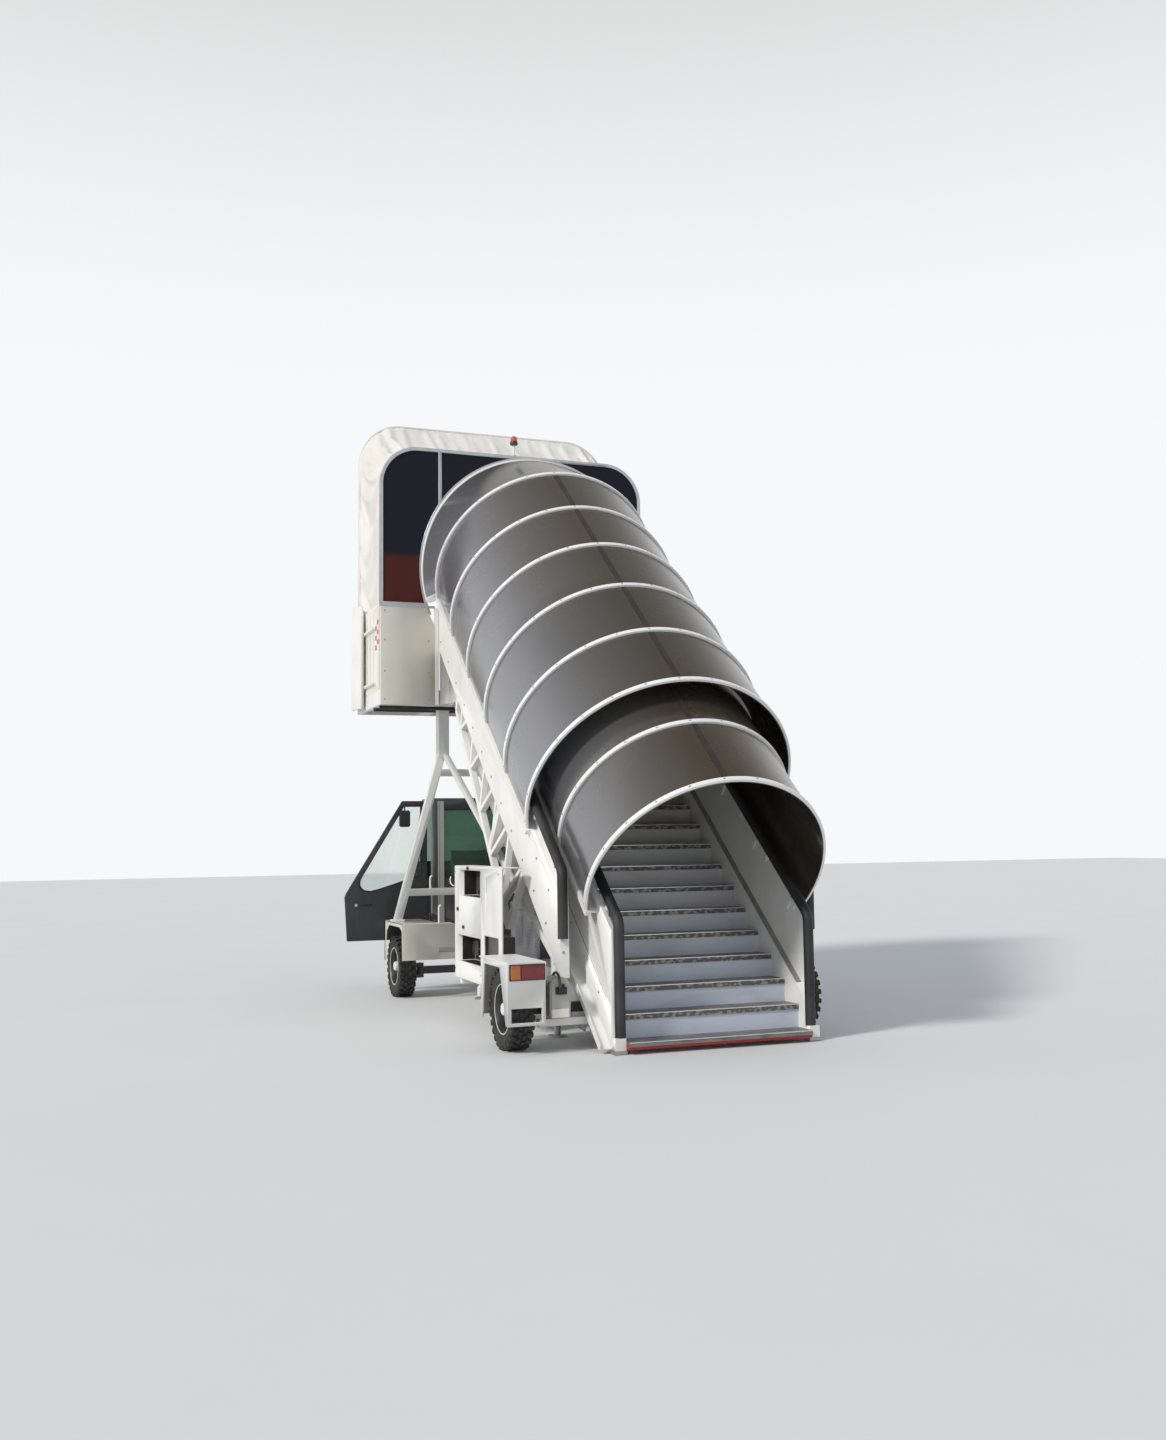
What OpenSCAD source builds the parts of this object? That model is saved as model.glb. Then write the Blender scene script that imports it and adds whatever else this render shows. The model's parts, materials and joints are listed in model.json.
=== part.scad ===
// Self-propelled passenger boarding stairs for aircraft: a telescoping covered flight
// on a four-wheeled chassis. Millimetres. +Y points forward, to the aircraft, +X to the
// right, +Z up. The places below are given from the foot of the stairs: x from their
// centre line, y from the edge of the lowest step, z from the ground.

/* [Steps] */
// Height of one riser
riser = 195; // [190:1:200]
// Depth of one step from edge to edge
going = 236; // [232:1:242]
// Height of the lowest step above the ground
foot_z = 100; // [95:1:110]
// Half the width of the steps of the upper flight
upper_half_w = 1100; // [1000:10:1200]
// How much narrower the lower steps are, on each side
flight_inset = 266; // [262:1:270]
// Thickness of the folded step plates
plate_t = 6; // [4:1:7]
// Height of the grip lip along a step's edge
lip_h = 36; // [28:1:44]
// How far the upper steps lie ahead of the lower ones
upper_shift = 276; // [274:1:286]

/* [Canopies] */
// How far the lower hoops stand outside the lower steps
lower_hoop_out = 220; // [210:2:230]
// How far the upper hoops stand outside the upper steps
upper_hoop_out = 150; // [144:2:156]
// Distance from one lower hoop to the next
lower_hoop_gap = 816; // [780:4:840]
// Distance from one upper hoop to the next
upper_hoop_gap = 825; // [800:5:850]
// Radial thickness of a hoop
hoop_t = 24; // [16:1:28]
// Width of a hoop along the flight
hoop_w = 46; // [36:2:56]
// Thickness of the canopy sheets
sheet_t = 8; // [5:1:10]

/* [Platform] */
// How far the cabin reaches beyond the upper steps on the left
left_margin = 750; // [700:10:800]
// How far the cabin reaches beyond the upper steps on the right
right_margin = 230; // [220:5:270]
// Length of the platform deck behind the cabin's rear wall
deck_len = 1270; // [1200:10:1350]
// Depth of the deck frame
deck_h = 175; // [160:5:190]
// Height of the window sill above the deck
sill_h = 950; // [920:5:970]
// Height of the centre of the canopy's mouth above the deck
arch_h = 1385; // [1370:5:1400]
// How far the canopy's mouth reaches outside the upper hoops
arch_room = 110; // [100:2:120]
// Height of the front hoop's top above the rear window frame
hood_rise = 600; // [540:10:640]

/* [Running gear] */
// Radius of the tyres
tyre_r = 335; // [330:1:340]
// Width of the tyres
tyre_w = 196; // [180:2:200]
// Radius of the rims
rim_r = 200; // [195:1:210]
// Distance from the stair's foot to the rear axle
rear_axle_y = 700; // [695:1:705]
// Distance from one axle to the other
wheelbase = 4270; // [4200:10:4340]

/* [Cab] */
// Width of the cab
cab_w = 1000; // [960:10:1040]
// Length of the cab at its widest
cab_len = 1130; // [1100:5:1150]
// Height of the cab's roof above the ground
cab_top = 2220; // [2180:5:2240]
// Thickness of the cab's walls
cab_wall = 40; // [30:1:44]

/* [Hidden] */
$fn = 96;

// Clearance between curved faces that meet
seat = 0.3;
// Overlap of cutting tools
cut = 1;

// Slope of both flights, and the numbers of their steps, counted from the ground
slope_a = atan2(riser, going);
su = sin(slope_a);
cu = cos(slope_a);
lower_last = 12;
upper_first = 7;
upper_last = 17;

// Place on the slope: u runs up along the edges of the lower steps, off stands square to them
function slope_y(u, off) = u * cu - off * su;
function slope_z(u, off) = foot_z + u * su + off * cu;
// Height above the ground of a line off the steps' edges, at the place y
function line_z(y, off) = foot_z + y * su / cu + off / cu;
// Distance up the slope of the place y on that line
function line_u(y, off) = (y + off * su) / cu;

// Widths of both flights and radii of their hoops
lower_half_w = upper_half_w - flight_inset;
lower_hoop_r = lower_half_w + lower_hoop_out;
upper_hoop_r = upper_half_w + upper_hoop_out;

// Platform heights and places
platform_left = upper_half_w + left_margin;
platform_right = upper_half_w + right_margin;
floor_z = foot_z + upper_last * riser;
floor_y = upper_last * going + upper_shift;
landing = 392;
wall_y = floor_y + landing;
deck_front = wall_y + deck_len;
deck_bottom = floor_z - deck_h;
deck_plate = 20;
sill_z = floor_z + sill_h;
panel_t = 40;
arch_r = upper_hoop_r + arch_room;
arch_z = floor_z + arch_h;
arch_ring = 34;
arch_half_angle = 112;
frame_gap = 6;
frame_top = arch_z + arch_r + arch_ring + frame_gap;
hood_top = frame_top + hood_rise;
hood_bottom = sill_z + 20;

// Lower flight, measured square to the slope
stringer_w = 96;
stringer_out = lower_half_w + stringer_w;
stringer_low = -160;
stringer_high = 110;
ledge_w = 100;
ledge_t = 24;
ledge_lip_h = 46;
skirt_t = 12;
skirt_low = 88;
lower_panel_top = 600;
lower_panel_in = stringer_out - 40;
lower_panel_out = stringer_out - 4;
rail_r = 44;
rail_off = 675;
lower_rail_x = stringer_out - 62;
post_y = 100;
post_foot = 30;
rail_bend = 120;
panel_end_y = post_y + rail_r + seat;

// Lower canopy
lower_centre_off = 813;
lower_foot_off = 535;
lower_foot_in = lower_hoop_r - 69;
lower_foot_out = lower_hoop_r - 19;
lower_first_hoop = 1008;
lower_hoops = 5;
lower_end_u = lower_first_hoop + (lower_hoops - 1) * lower_hoop_gap + hoop_w / 2 + 5;

// Upper flight
beam_out = upper_half_w + 80;
gusset_in = upper_half_w + 4;
gusset_y = floor_y - 60;
beam_low = -50;
beam_high = 430;
stringer_plate_low = -345;
stringer_plate_u = 1850;
stringer_plate_t = 8;
upper_panel_out = upper_half_w + 24;
upper_panel_top = 610;
upper_rail_x = upper_panel_out + 46;
upper_rail_off = 665;
upper_post_y = 600;
upper_post_h = 490;
beam_end_y = upper_post_y + rail_r + seat;
upper_centre_off = 791;
upper_foot_out = upper_hoop_r - 25;
upper_hoops = 6;
last_hoop_gap = 69;
last_hoop_u = line_u(wall_y - last_hoop_gap, beam_high);
upper_first_hoop = last_hoop_u - (upper_hoops - 1) * upper_hoop_gap;
collar_u = last_hoop_u + hoop_w / 2 + seat;
// The collar's foot stays ahead of the last tilted hoop
collar_foot_z = slope_z(collar_u, (collar_u * cu - wall_y) / su) + 4;
collar_half_angle = acos((collar_foot_z - arch_z) / arch_r);

// Truss below the upper flight
truss_in = upper_half_w + 10;
truss_out = upper_half_w + 70;
truss_low_u = 2210;
truss_low_off = -780;
truss_top_u = 5000;
truss_top_off = -200;
truss_bar = 60;
truss_bays = 5;
rod_beam_u = 3050;
rod_beam_w = 100;

// Chassis
rail_out = upper_half_w - 410;
rail_in = rail_out - 90;
chassis_low = 340;
chassis_top = 500;
member_w = 80;
arm_low = 420;
rear_link_y = rear_axle_y + 415;
link_y = rear_axle_y - 200;
link_low = 200;
link_w = 90;
front_axle_y = rear_axle_y + wheelbase;
cab_back = front_axle_y + 330;
front_end = cab_back + 900;
tow_eye_z = 420;
tow_eye_w = 90;
tow_eye_r = 20;
tow_eye_reach = 112;

// Lift cylinders between the flights
cylinder_x = rail_in - 150;
cylinder_off = -455;
barrel_r = 48;
rod_r = 28;
barrel_low_u = 1320;
barrel_high_u = 3000;
lug_gap = 28.3;
lug_t = 16;
lift_pin_y = slope_y(barrel_low_u, cylinder_off);
lift_pin_z = slope_z(barrel_low_u, cylinder_off);

// Wheels and axles
wheel_z = tyre_r;
front_wheel_left = -upper_half_w - 440;
rear_wheel_left = -upper_half_w - 490;
wheel_right = upper_half_w - 60;
pin_left_x = front_wheel_left + 210;
pin_right_x = wheel_right - 150;
stub_r = 30;
king_r = 16;
axle_h = 80;
rear_axle_low = wheel_z - 51;
front_axle_low = wheel_z - 95;

// Support frame under the platform
frame_y = front_axle_y;
leg_foot_z = 830;
leg_foot_left = front_wheel_left - 50;
leg_foot_right = wheel_right + 80;
leg_head_x = upper_half_w - 40;
leg_head_z = deck_bottom - 470;
leg_w = 90;
leg_d = 70;
brace_out = upper_half_w - 35;
brace_in = brace_out - 50;
brace_low_y = rear_link_y + 35;
brace_low_z = 660;

// Fender and lamp over the rear-left wheel
fender_out = rear_wheel_left - 160;
fender_in = rear_wheel_left + 160;
fender_back = rear_axle_y - 400;
fender_top = 745;
fender_low = 240;
fender_wall = 12;

// Cabinet on the left
cabinet_out = -upper_half_w - 370;
cabinet_in = cabinet_out + 190;
cabinet_back = rear_axle_y + 660;
cabinet_seam = rear_axle_y + 1300;
cabinet_front = rear_axle_y + 2240;
cabinet_low = chassis_low + 55;
cabinet_high = 1480;

// Cab
cab_left = -upper_half_w;
cab_right = cab_left + cab_w;
cab_front = cab_back + cab_len;
cab_floor = 570;
roof_front = cab_back + 500;
nose_z = 1180;
hinge_x = cab_left - 15;
hinge_y = cab_back + 60;
door_nose = 78;
window_low = 1240;
back_window_low = 1300;
back_window_high = cab_top - 130;

// Arms outside the rails
fender_arm_y = [front_axle_y - 370, front_axle_y + 230];
cab_arm_y = [cab_back + 150, cab_back + 750];
cabinet_arm_y = [cabinet_seam + 100, cabinet_front - 180];
stringer_arm_y = rear_axle_y + 750;

// Jacks
jack_y = [rear_axle_y + 550, front_axle_y - 670];
jack_x = [rail_out + 310, rail_out + 110];
jack_r = 30;

// Rear window, hood and guards of the cabin
window_corner = 450;
frame_w = 40;
mullion_x = -upper_half_w - 70;
hood_t = 14;
hood_front = deck_front - 70;
front_corner = 520;
corner_steps = 7;
guard_in = 30;
guard_out = 62;

// Reference point below the middle of the whole
left_end = hinge_x - (cab_front - door_nose - hinge_y);
right_end = max(arch_r + arch_ring, platform_right + guard_out);
back_end = slope_y(lower_first_hoop - hoop_w / 2, lower_centre_off + lower_hoop_r + hoop_t);
mid_x = (left_end + right_end) / 2;
mid_y = (back_end + cab_front) / 2;

module place() {
    translate([-mid_x, -mid_y, 0]) children();
}

module slope() {
    translate([0, 0, foot_z]) rotate([slope_a, 0, 0]) children();
}

module both() {
    children();
    mirror([1, 0, 0]) children();
}

// Block given by its lowest and highest corners
module block(low, high) {
    translate(low) cube(high - low);
}

// Outline in y and z, carried from x0 to x1
module side_prism(x0, x1, points) {
    translate([x0, 0, 0]) rotate([90, 0, 90]) linear_extrude(x1 - x0) polygon(points);
}

// Shape in x and z, carried from y0 to y1
module front_prism(y0, y1) {
    translate([0, y1, 0]) rotate([90, 0, 0]) linear_extrude(y1 - y0) children();
}

// Straight bar between two places in y and z
module side_bar(x0, x1, p, q, w) {
    translate([x0, p[0], p[1]])
        rotate([atan2(q[1] - p[1], q[0] - p[0]), 0, 0])
            translate([0, 0, -w / 2]) cube([x1 - x0, norm(q - p), w]);
}

// Outline of a straight bar between two points
module flat_bar(p, q, w) {
    translate(p) rotate(atan2(q[1] - p[1], q[0] - p[0])) translate([0, -w / 2])
        square([norm(q - p), w]);
}

// Cylinder along x
module x_cylinder(x0, x1, r) {
    translate([x0, 0, 0]) rotate([0, 90, 0]) cylinder(h = x1 - x0, r = r);
}

// Arched band round the flight's axis, standing on feet at the height foot_off
module arched(u0, u1, r_in, r_out, centre_off, foot_off) {
    slope() difference() {
        translate([0, u1, centre_off]) rotate([90, 0, 0]) cylinder(h = u1 - u0, r = r_out);
        translate([0, u1 + cut, centre_off]) rotate([90, 0, 0])
            cylinder(h = u1 - u0 + 2 * cut, r = r_in);
        block([-r_out - cut, u0 - cut, centre_off - r_out - cut], [r_out + cut, u1 + cut, foot_off]);
    }
}

// One step plate with its grip lip
module tread(half_w, y, z, depth) {
    side_prism(-half_w, half_w, [[y, z - lip_h], [y, z], [y + depth, z], [y + depth, z - plate_t],
        [y + plate_t, z - plate_t], [y + plate_t, z - lip_h]]);
}

// Riser that stands on the step below and reaches under the step at y, z
module step_riser(half_w, y, z) {
    block([-half_w, y + plate_t, z - riser], [half_w, y + 2 * plate_t, z - plate_t]);
}

// Round bar between two places in y and z, with a ball at its upper end
module round_bar(x, p, q, r, ball) {
    translate([x, p[0], p[1]]) rotate([atan2(q[1] - p[1], q[0] - p[0]) - 90, 0, 0])
        cylinder(h = norm(q - p), r = r);
    if (ball) translate([x, q[0], q[1]]) sphere(r = r + 0.5);
}

// Handrail that stands up as a post and bends into the slope over two corners
module handrail(x, y, z_foot, off, u_end) {
    corner_u = line_u(y, off);
    corner_z = slope_z(corner_u, off);
    tangent = rail_bend * tan((90 - slope_a) / 2);
    first = [y, corner_z - tangent];
    second = [slope_y(corner_u + tangent, off), slope_z(corner_u + tangent, off)];
    round_bar(x, [y, z_foot], first, rail_r, true);
    round_bar(x, first, second, rail_r, true);
    round_bar(x, second, [slope_y(u_end, off), slope_z(u_end, off)], rail_r, false);
}

// One side of the lower flight; on the left a ledge with a lip runs along its lower edge
module lower_side(left) {
    bracket_u = 900;
    bracket_gap = 640;
    intersection() {
        slope() union() {
            block([lower_half_w, 0, stringer_low], [stringer_out, lower_end_u, stringer_high]);
            block([lower_panel_in, 0, stringer_high - cut],
                [lower_panel_out, lower_end_u, lower_panel_top]);
            if (left) {
                block([stringer_out - cut, 0, stringer_low],
                    [stringer_out + ledge_w, lower_end_u, stringer_low + ledge_t]);
                block([stringer_out + ledge_w - ledge_t / 2, 0, stringer_low],
                    [stringer_out + ledge_w, lower_end_u, stringer_low + ledge_lip_h]);
            }
        }
        block([0, panel_end_y, 40], [2 * stringer_out, 2 * lower_end_u, 2 * lower_end_u]);
    }
    block([lower_half_w + cut, post_y - rail_r, post_foot],
        [stringer_out - cut, panel_end_y + cut, foot_z + post_foot]);
    slope() for (i = [0 : 5])
        block([lower_rail_x - 6, bracket_u + i * bracket_gap, lower_panel_top - 60],
            [lower_panel_in + cut, bracket_u + 40 + i * bracket_gap, rail_off - rail_r - seat]);
    slope() block([lower_foot_in, lower_first_hoop - 40, lower_foot_off - 50],
        [lower_foot_out, lower_end_u, lower_foot_off]);
    slope() for (i = [0 : lower_hoops - 1])
        block([lower_panel_out - cut, lower_first_hoop + i * lower_hoop_gap - 20, lower_foot_off - 40],
            [lower_foot_in + cut, lower_first_hoop + i * lower_hoop_gap + 20, lower_foot_off - 15]);
    if (left) skirt();
}

// Plate below the foot of the stringer, in two legs before and behind the rear axle
module skirt() {
    back = link_y + link_w + 20;
    front = rear_link_y - 10;
    axle_room = 60;
    out = stringer_out - cut;
    side_prism(out - skirt_t, out, [[back, skirt_low], [rear_axle_y - axle_room, skirt_low],
        [rear_axle_y - axle_room, line_z(rear_axle_y - axle_room, stringer_low) + 5],
        [back, line_z(back, stringer_low) + 5]]);
    side_prism(out - skirt_t, out, [[rear_axle_y + axle_room, skirt_low + 12],
        [front - 75, skirt_low + 38], [front, arm_low - 20], [front, line_z(front, stringer_low) + 5],
        [rear_axle_y + axle_room, line_z(rear_axle_y + axle_room, stringer_low) + 5]]);
}

module lower_stringers() {
    color("white") place() {
        lower_side(false);
        mirror([1, 0, 0]) lower_side(true);
    }
}

module lower_treads() {
    color("silver") place() for (k = [0 : lower_last])
        tread(lower_half_w, k * going, foot_z + k * riser, going + 2 * plate_t);
}

module lower_risers() {
    color("lightsteelblue") place() for (k = [1 : lower_last])
        step_riser(lower_half_w, k * going, foot_z + k * riser);
}

module lower_handrails() {
    color("black") place() both() handrail(lower_rail_x, post_y, foot_z + post_foot, rail_off, lower_end_u);
}

module bumper_bar() {
    reach = lower_half_w + cut - seat;
    color("red") place()
        block([-reach, plate_t + seat, foot_z - 60], [reach, 60, foot_z - plate_t - seat]);
}

module lower_canopy_hoops() {
    color("white") place() for (i = [0 : lower_hoops - 1]) {
        u = lower_first_hoop + i * lower_hoop_gap;
        arched(u - hoop_w / 2, u + hoop_w / 2, lower_hoop_r, lower_hoop_r + hoop_t, lower_centre_off,
            lower_foot_off + seat);
    }
}

module lower_canopy_sheet() {
    color("rosybrown") place()
        arched(lower_first_hoop - hoop_w / 2, lower_end_u, lower_hoop_r - seat - sheet_t,
            lower_hoop_r - seat, lower_centre_off, lower_foot_off + seat);
}

// One side beam of the upper flight with its panel; its lower corner stays above the height low_z
module beam_side(low_z) {
    bracket_u = 1500;
    bracket_gap = 660;
    intersection() {
        slope() block([upper_half_w, stringer_plate_u, stringer_plate_low],
            [upper_half_w + stringer_plate_t, line_u(wall_y, beam_high), beam_low + cut]);
        block([0, 0, 0], [2 * beam_out, gusset_y + cut, 2 * floor_z]);
    }
    intersection() {
        slope() block([upper_half_w, 0, beam_low], [beam_out, line_u(wall_y, beam_high), beam_high]);
        block([0, beam_end_y, low_z], [2 * beam_out, wall_y, 2 * floor_z]);
    }
    intersection() {
        slope() block([gusset_in, 0, beam_high - cut],
            [upper_panel_out, line_u(wall_y, upper_panel_top), upper_panel_top]);
        block([0, beam_end_y, 0], [2 * beam_out, wall_y, 2 * floor_z]);
    }
    side_prism(gusset_in, beam_out - 4, [[gusset_y, deck_bottom],
        [wall_y - panel_t, deck_bottom], [wall_y - panel_t, line_z(wall_y, 0)],
        [gusset_y, line_z(gusset_y, 0)]]);
    slope() for (i = [0 : 7])
        block([upper_panel_out - cut, bracket_u + i * bracket_gap, upper_panel_top - 60],
            [upper_rail_x + 6, bracket_u + 40 + i * bracket_gap, upper_rail_off - rail_r - seat]);
    slope() block([beam_out - cut, upper_first_hoop - hoop_w, beam_high - 50],
        [upper_foot_out, last_hoop_u - 16, beam_high]);
}

module upper_beams() {
    tyre_room = 20;
    color("white") place() {
        beam_side(2 * tyre_r + tyre_room);
        mirror([1, 0, 0]) beam_side(0);
    }
}

// One side of the truss in u and n: bottom chord, end posts, zigzag and the rod beam's post
module truss_outline() {
    low = [truss_low_u, truss_low_off];
    top = [truss_top_u, truss_top_off];
    intersection() {
        union() {
            flat_bar(low, top, truss_bar);
            flat_bar(low, [truss_low_u - 60, 0], truss_bar);
            flat_bar(top, [truss_top_u + 20, 0], truss_bar);
            for (i = [1 : truss_bays]) {
                foot = low + (i - 0.5) / truss_bays * (top - low);
                flat_bar(foot, [foot[0] - 330 + i * 30, 0], 44);
                flat_bar(foot, [foot[0] + 250 - i * 30, 0], 44);
            }
            translate([rod_beam_u, truss_low_off + 180]) square([rod_beam_w, -truss_low_off]);
        }
        translate([0, 2 * truss_low_off]) square([2 * truss_top_u, beam_low - 2 * truss_low_off]);
    }
}

module upper_truss() {
    color("white") place() slope() {
        both() translate([truss_in, 0, 0]) rotate([90, 0, 90])
            linear_extrude(truss_out - truss_in) truss_outline();
        block([-truss_in - 20, rod_beam_u + 4, cylinder_off - 50],
            [truss_in + 20, rod_beam_u + rod_beam_w - 4, cylinder_off + 50]);
    }
}

module upper_treads() {
    color("silver") place() for (i = [upper_first : upper_last - 1])
        tread(upper_half_w, i * going + upper_shift, foot_z + i * riser, going + 2 * plate_t);
}

module upper_risers() {
    color("lightsteelblue") place() for (i = [upper_first + 1 : upper_last])
        step_riser(upper_half_w, i * going + upper_shift, foot_z + i * riser);
}

module upper_handrails() {
    color("black") place() both()
        handrail(upper_rail_x, upper_post_y, line_z(upper_post_y, upper_panel_top) - upper_post_h,
            upper_rail_off, line_u(wall_y, upper_rail_off) - 60);
}

module upper_canopy_hoops() {
    color("white") place() for (i = [0 : upper_hoops - 1]) {
        u = upper_first_hoop + i * upper_hoop_gap;
        arched(u - hoop_w / 2, u + hoop_w / 2, upper_hoop_r, upper_hoop_r + hoop_t, upper_centre_off,
            beam_high + seat);
    }
}

module upper_canopy_sheet() {
    color("rosybrown") place()
        arched(upper_first_hoop - hoop_w / 2, last_hoop_u + hoop_w / 2, upper_hoop_r - seat - sheet_t,
            upper_hoop_r - seat, upper_centre_off, beam_high + seat);
}

// Sheet between the last tilted hoop and the upright arch in the cabin's rear wall
module canopy_collar() {
    steps = 36;
    foot_angle = acos((beam_high + seat - upper_centre_off) / upper_hoop_r);
    tilted = function(r) [for (i = [0 : steps]) let (a = foot_angle * (2 * i / steps - 1))
        [r * sin(a), slope_y(collar_u, upper_centre_off + r * cos(a)),
            slope_z(collar_u, upper_centre_off + r * cos(a))]];
    upright = function(r) [for (i = [0 : steps]) let (a = collar_half_angle * (2 * i / steps - 1))
        [r * sin(a), wall_y - seat, arch_z + r * cos(a)]];
    count = steps + 1;
    points = concat(tilted(upper_hoop_r + sheet_t), upright(arch_r + sheet_t), upright(arch_r),
        tilted(upper_hoop_r));
    faces = concat(
        [for (ring = [0 : 3]) for (i = [0 : steps - 1])
            [ring * count + i, ring * count + i + 1,
                ((ring + 1) % 4) * count + i + 1, ((ring + 1) % 4) * count + i]],
        [[0, count, 2 * count, 3 * count]],
        [[4 * count - 1, 3 * count - 1, 2 * count - 1, count - 1]]);
    color("rosybrown") place() polyhedron(points, faces);
}

module platform_floor() {
    left = -platform_left;
    right = platform_right;
    frame_t = 60;
    color("white") place() {
        block([left, wall_y, floor_z - deck_plate], [right, deck_front, floor_z]);
        block([-gusset_in, floor_y + 2 * plate_t, floor_z - deck_plate], [gusset_in, wall_y + cut, floor_z]);
        difference() {
            block([left, wall_y, deck_bottom], [right, deck_front, floor_z - deck_plate + cut]);
            block([left + frame_t, wall_y + frame_t, deck_bottom - cut],
                [right - frame_t, deck_front - frame_t, floor_z - deck_plate]);
        }
        difference() {
            block([-gusset_in, floor_y + 2 * plate_t, deck_bottom],
                [gusset_in, wall_y + cut, floor_z - deck_plate + cut]);
            block([-gusset_in + frame_t, floor_y + frame_t, deck_bottom - cut],
                [gusset_in - frame_t, wall_y - cut, floor_z - deck_plate]);
        }
        for (x = [-leg_head_x, 0, leg_head_x])
            block([x - 60, wall_y + frame_t - cut, deck_bottom],
                [x + 60, deck_front - frame_t + cut, floor_z - deck_plate + cut]);
    }
}

// Rear wall panels and the side walls up to the sill, with the guards' tracks
module platform_walls() {
    left = -platform_left;
    right = platform_right;
    inner = upper_foot_out + 4;
    color("ivory") place() {
        difference() {
            union() {
                block([left, wall_y - panel_t, deck_bottom], [-inner, wall_y - seat, sill_z]);
                block([inner, wall_y - panel_t, deck_bottom], [right, wall_y - seat, sill_z]);
            }
            translate([0, 0, arch_z]) rotate([90, 0, 0])
                translate([0, 0, -wall_y]) cylinder(h = panel_t + cut, r = arch_r + arch_ring);
        }
        block([left, wall_y + panel_t + seat, floor_z], [left + panel_t, hood_front, sill_z]);
        block([right - panel_t, wall_y + panel_t + seat, floor_z], [right, hood_front, sill_z]);
        for (z = [floor_z + 80, floor_z + 700]) {
            block([left - guard_in, wall_y + 260, z], [left + cut, deck_front - 80, z + 30]);
            block([right - cut, wall_y + 260, z], [right + guard_in, deck_front - 80, z + 30]);
        }
    }
}

// Rectangle with its two upper corners round, from its sides, bottom and top
module arch_outline(left, right, bottom, top, r) {
    translate([left, bottom]) square([right - left, top - bottom - r]);
    translate([left + r, bottom]) square([right - left - 2 * r, top - bottom]);
    translate([left + r, top - r]) circle(r = r);
    translate([right - r, top - r]) circle(r = r);
}

// Metal frame of the rear window, its mullion and the ring round the canopy's mouth
module platform_frame() {
    color("lightgray") place() {
        front_prism(wall_y, wall_y + panel_t) difference() {
            arch_outline(-platform_left, platform_right, sill_z, frame_top, window_corner);
            arch_outline(-platform_left + frame_w, platform_right - frame_w, sill_z + frame_w,
                frame_top - frame_w, window_corner - frame_w);
            translate([0, arch_z]) circle(r = arch_r + cut);
        }
        front_prism(wall_y, wall_y + panel_t) difference() {
            translate([0, arch_z]) circle(r = arch_r + arch_ring);
            translate([0, arch_z]) circle(r = arch_r);
            translate([-2 * arch_r, arch_z - 2 * arch_r])
                square([4 * arch_r, 2 * arch_r + (arch_r + arch_ring) * cos(arch_half_angle)]);
        }
        front_prism(wall_y, wall_y + panel_t) difference() {
            translate([mullion_x, arch_z]) square([frame_w, frame_top - arch_z - frame_w + cut]);
            translate([0, arch_z]) circle(r = arch_r + cut);
        }
    }
}

module platform_windows() {
    color("maroon") place() front_prism(wall_y + 14, wall_y + 22) difference() {
        arch_outline(-platform_left + frame_w, platform_right - frame_w, sill_z + frame_w,
            frame_top - frame_w, window_corner - frame_w);
        translate([0, arch_z]) circle(r = arch_r + arch_ring);
        translate([mullion_x, arch_z]) square([frame_w, 2 * arch_r]);
    }
}

module platform_bumper() {
    color("black") place()
        block([-platform_left + 60, deck_front, deck_bottom + 10],
            [platform_right - 60, deck_front + 70, floor_z - 10]);
}

// Points of the arched outline at the place y, from the left foot over the top
function hood_ring(y, left, right, bottom, top, r) = concat(
    [[left, y, bottom]],
    [for (i = [0 : corner_steps]) let (a = 180 - 90 * i / corner_steps)
        [left + r + r * cos(a), y, top - r + r * sin(a)]],
    [for (i = [0 : corner_steps]) let (a = 90 - 90 * i / corner_steps)
        [right - r + r * cos(a), y, top - r + r * sin(a)]],
    [[right, y, bottom]]);

// Fabric between the rear frame and the front hoop, as one thin arched sheet
module hood() {
    back = wall_y + panel_t + seat;
    count = 2 * corner_steps + 4;
    points = concat(
        hood_ring(back, -platform_left, platform_right, hood_bottom, frame_top, window_corner),
        hood_ring(hood_front, -platform_left, platform_right, hood_bottom, hood_top, front_corner),
        hood_ring(hood_front, -platform_left + hood_t, platform_right - hood_t, hood_bottom,
            hood_top - hood_t, front_corner - hood_t),
        hood_ring(back, -platform_left + hood_t, platform_right - hood_t, hood_bottom,
            frame_top - hood_t, window_corner - hood_t));
    faces = concat(
        [for (ring = [0 : 3]) for (i = [0 : count - 2])
            [ring * count + i + 1, ring * count + i,
                ((ring + 1) % 4) * count + i, ((ring + 1) % 4) * count + i + 1]],
        [[3 * count, 2 * count, count, 0]],
        [[count - 1, 2 * count - 1, 3 * count - 1, 4 * count - 1]]);
    color("white") place() polyhedron(points, faces);
}

module front_hoop() {
    hoop_d = 60;
    hoop_wide = 46;
    color("white") place() front_prism(hood_front + seat, hood_front + seat + hoop_d) difference() {
        arch_outline(-platform_left, platform_right, floor_z, hood_top, front_corner);
        arch_outline(-platform_left + hoop_wide, platform_right - hoop_wide, floor_z - cut,
            hood_top - hoop_wide, front_corner - hoop_wide);
    }
}

module beacon() {
    beacon_x = -255;
    post_h = 130;
    color("orangered") place() translate([beacon_x, wall_y + panel_t / 2, frame_top]) {
        cylinder(h = post_h, r = 13);
        translate([0, 0, post_h]) cylinder(h = 32, r = 46);
        translate([0, 0, post_h + 32]) cylinder(h = 34, r = 42);
        translate([0, 0, post_h + 66]) intersection() {
            sphere(r = 42);
            cylinder(h = 60, r = 60);
        }
    }
}

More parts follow.
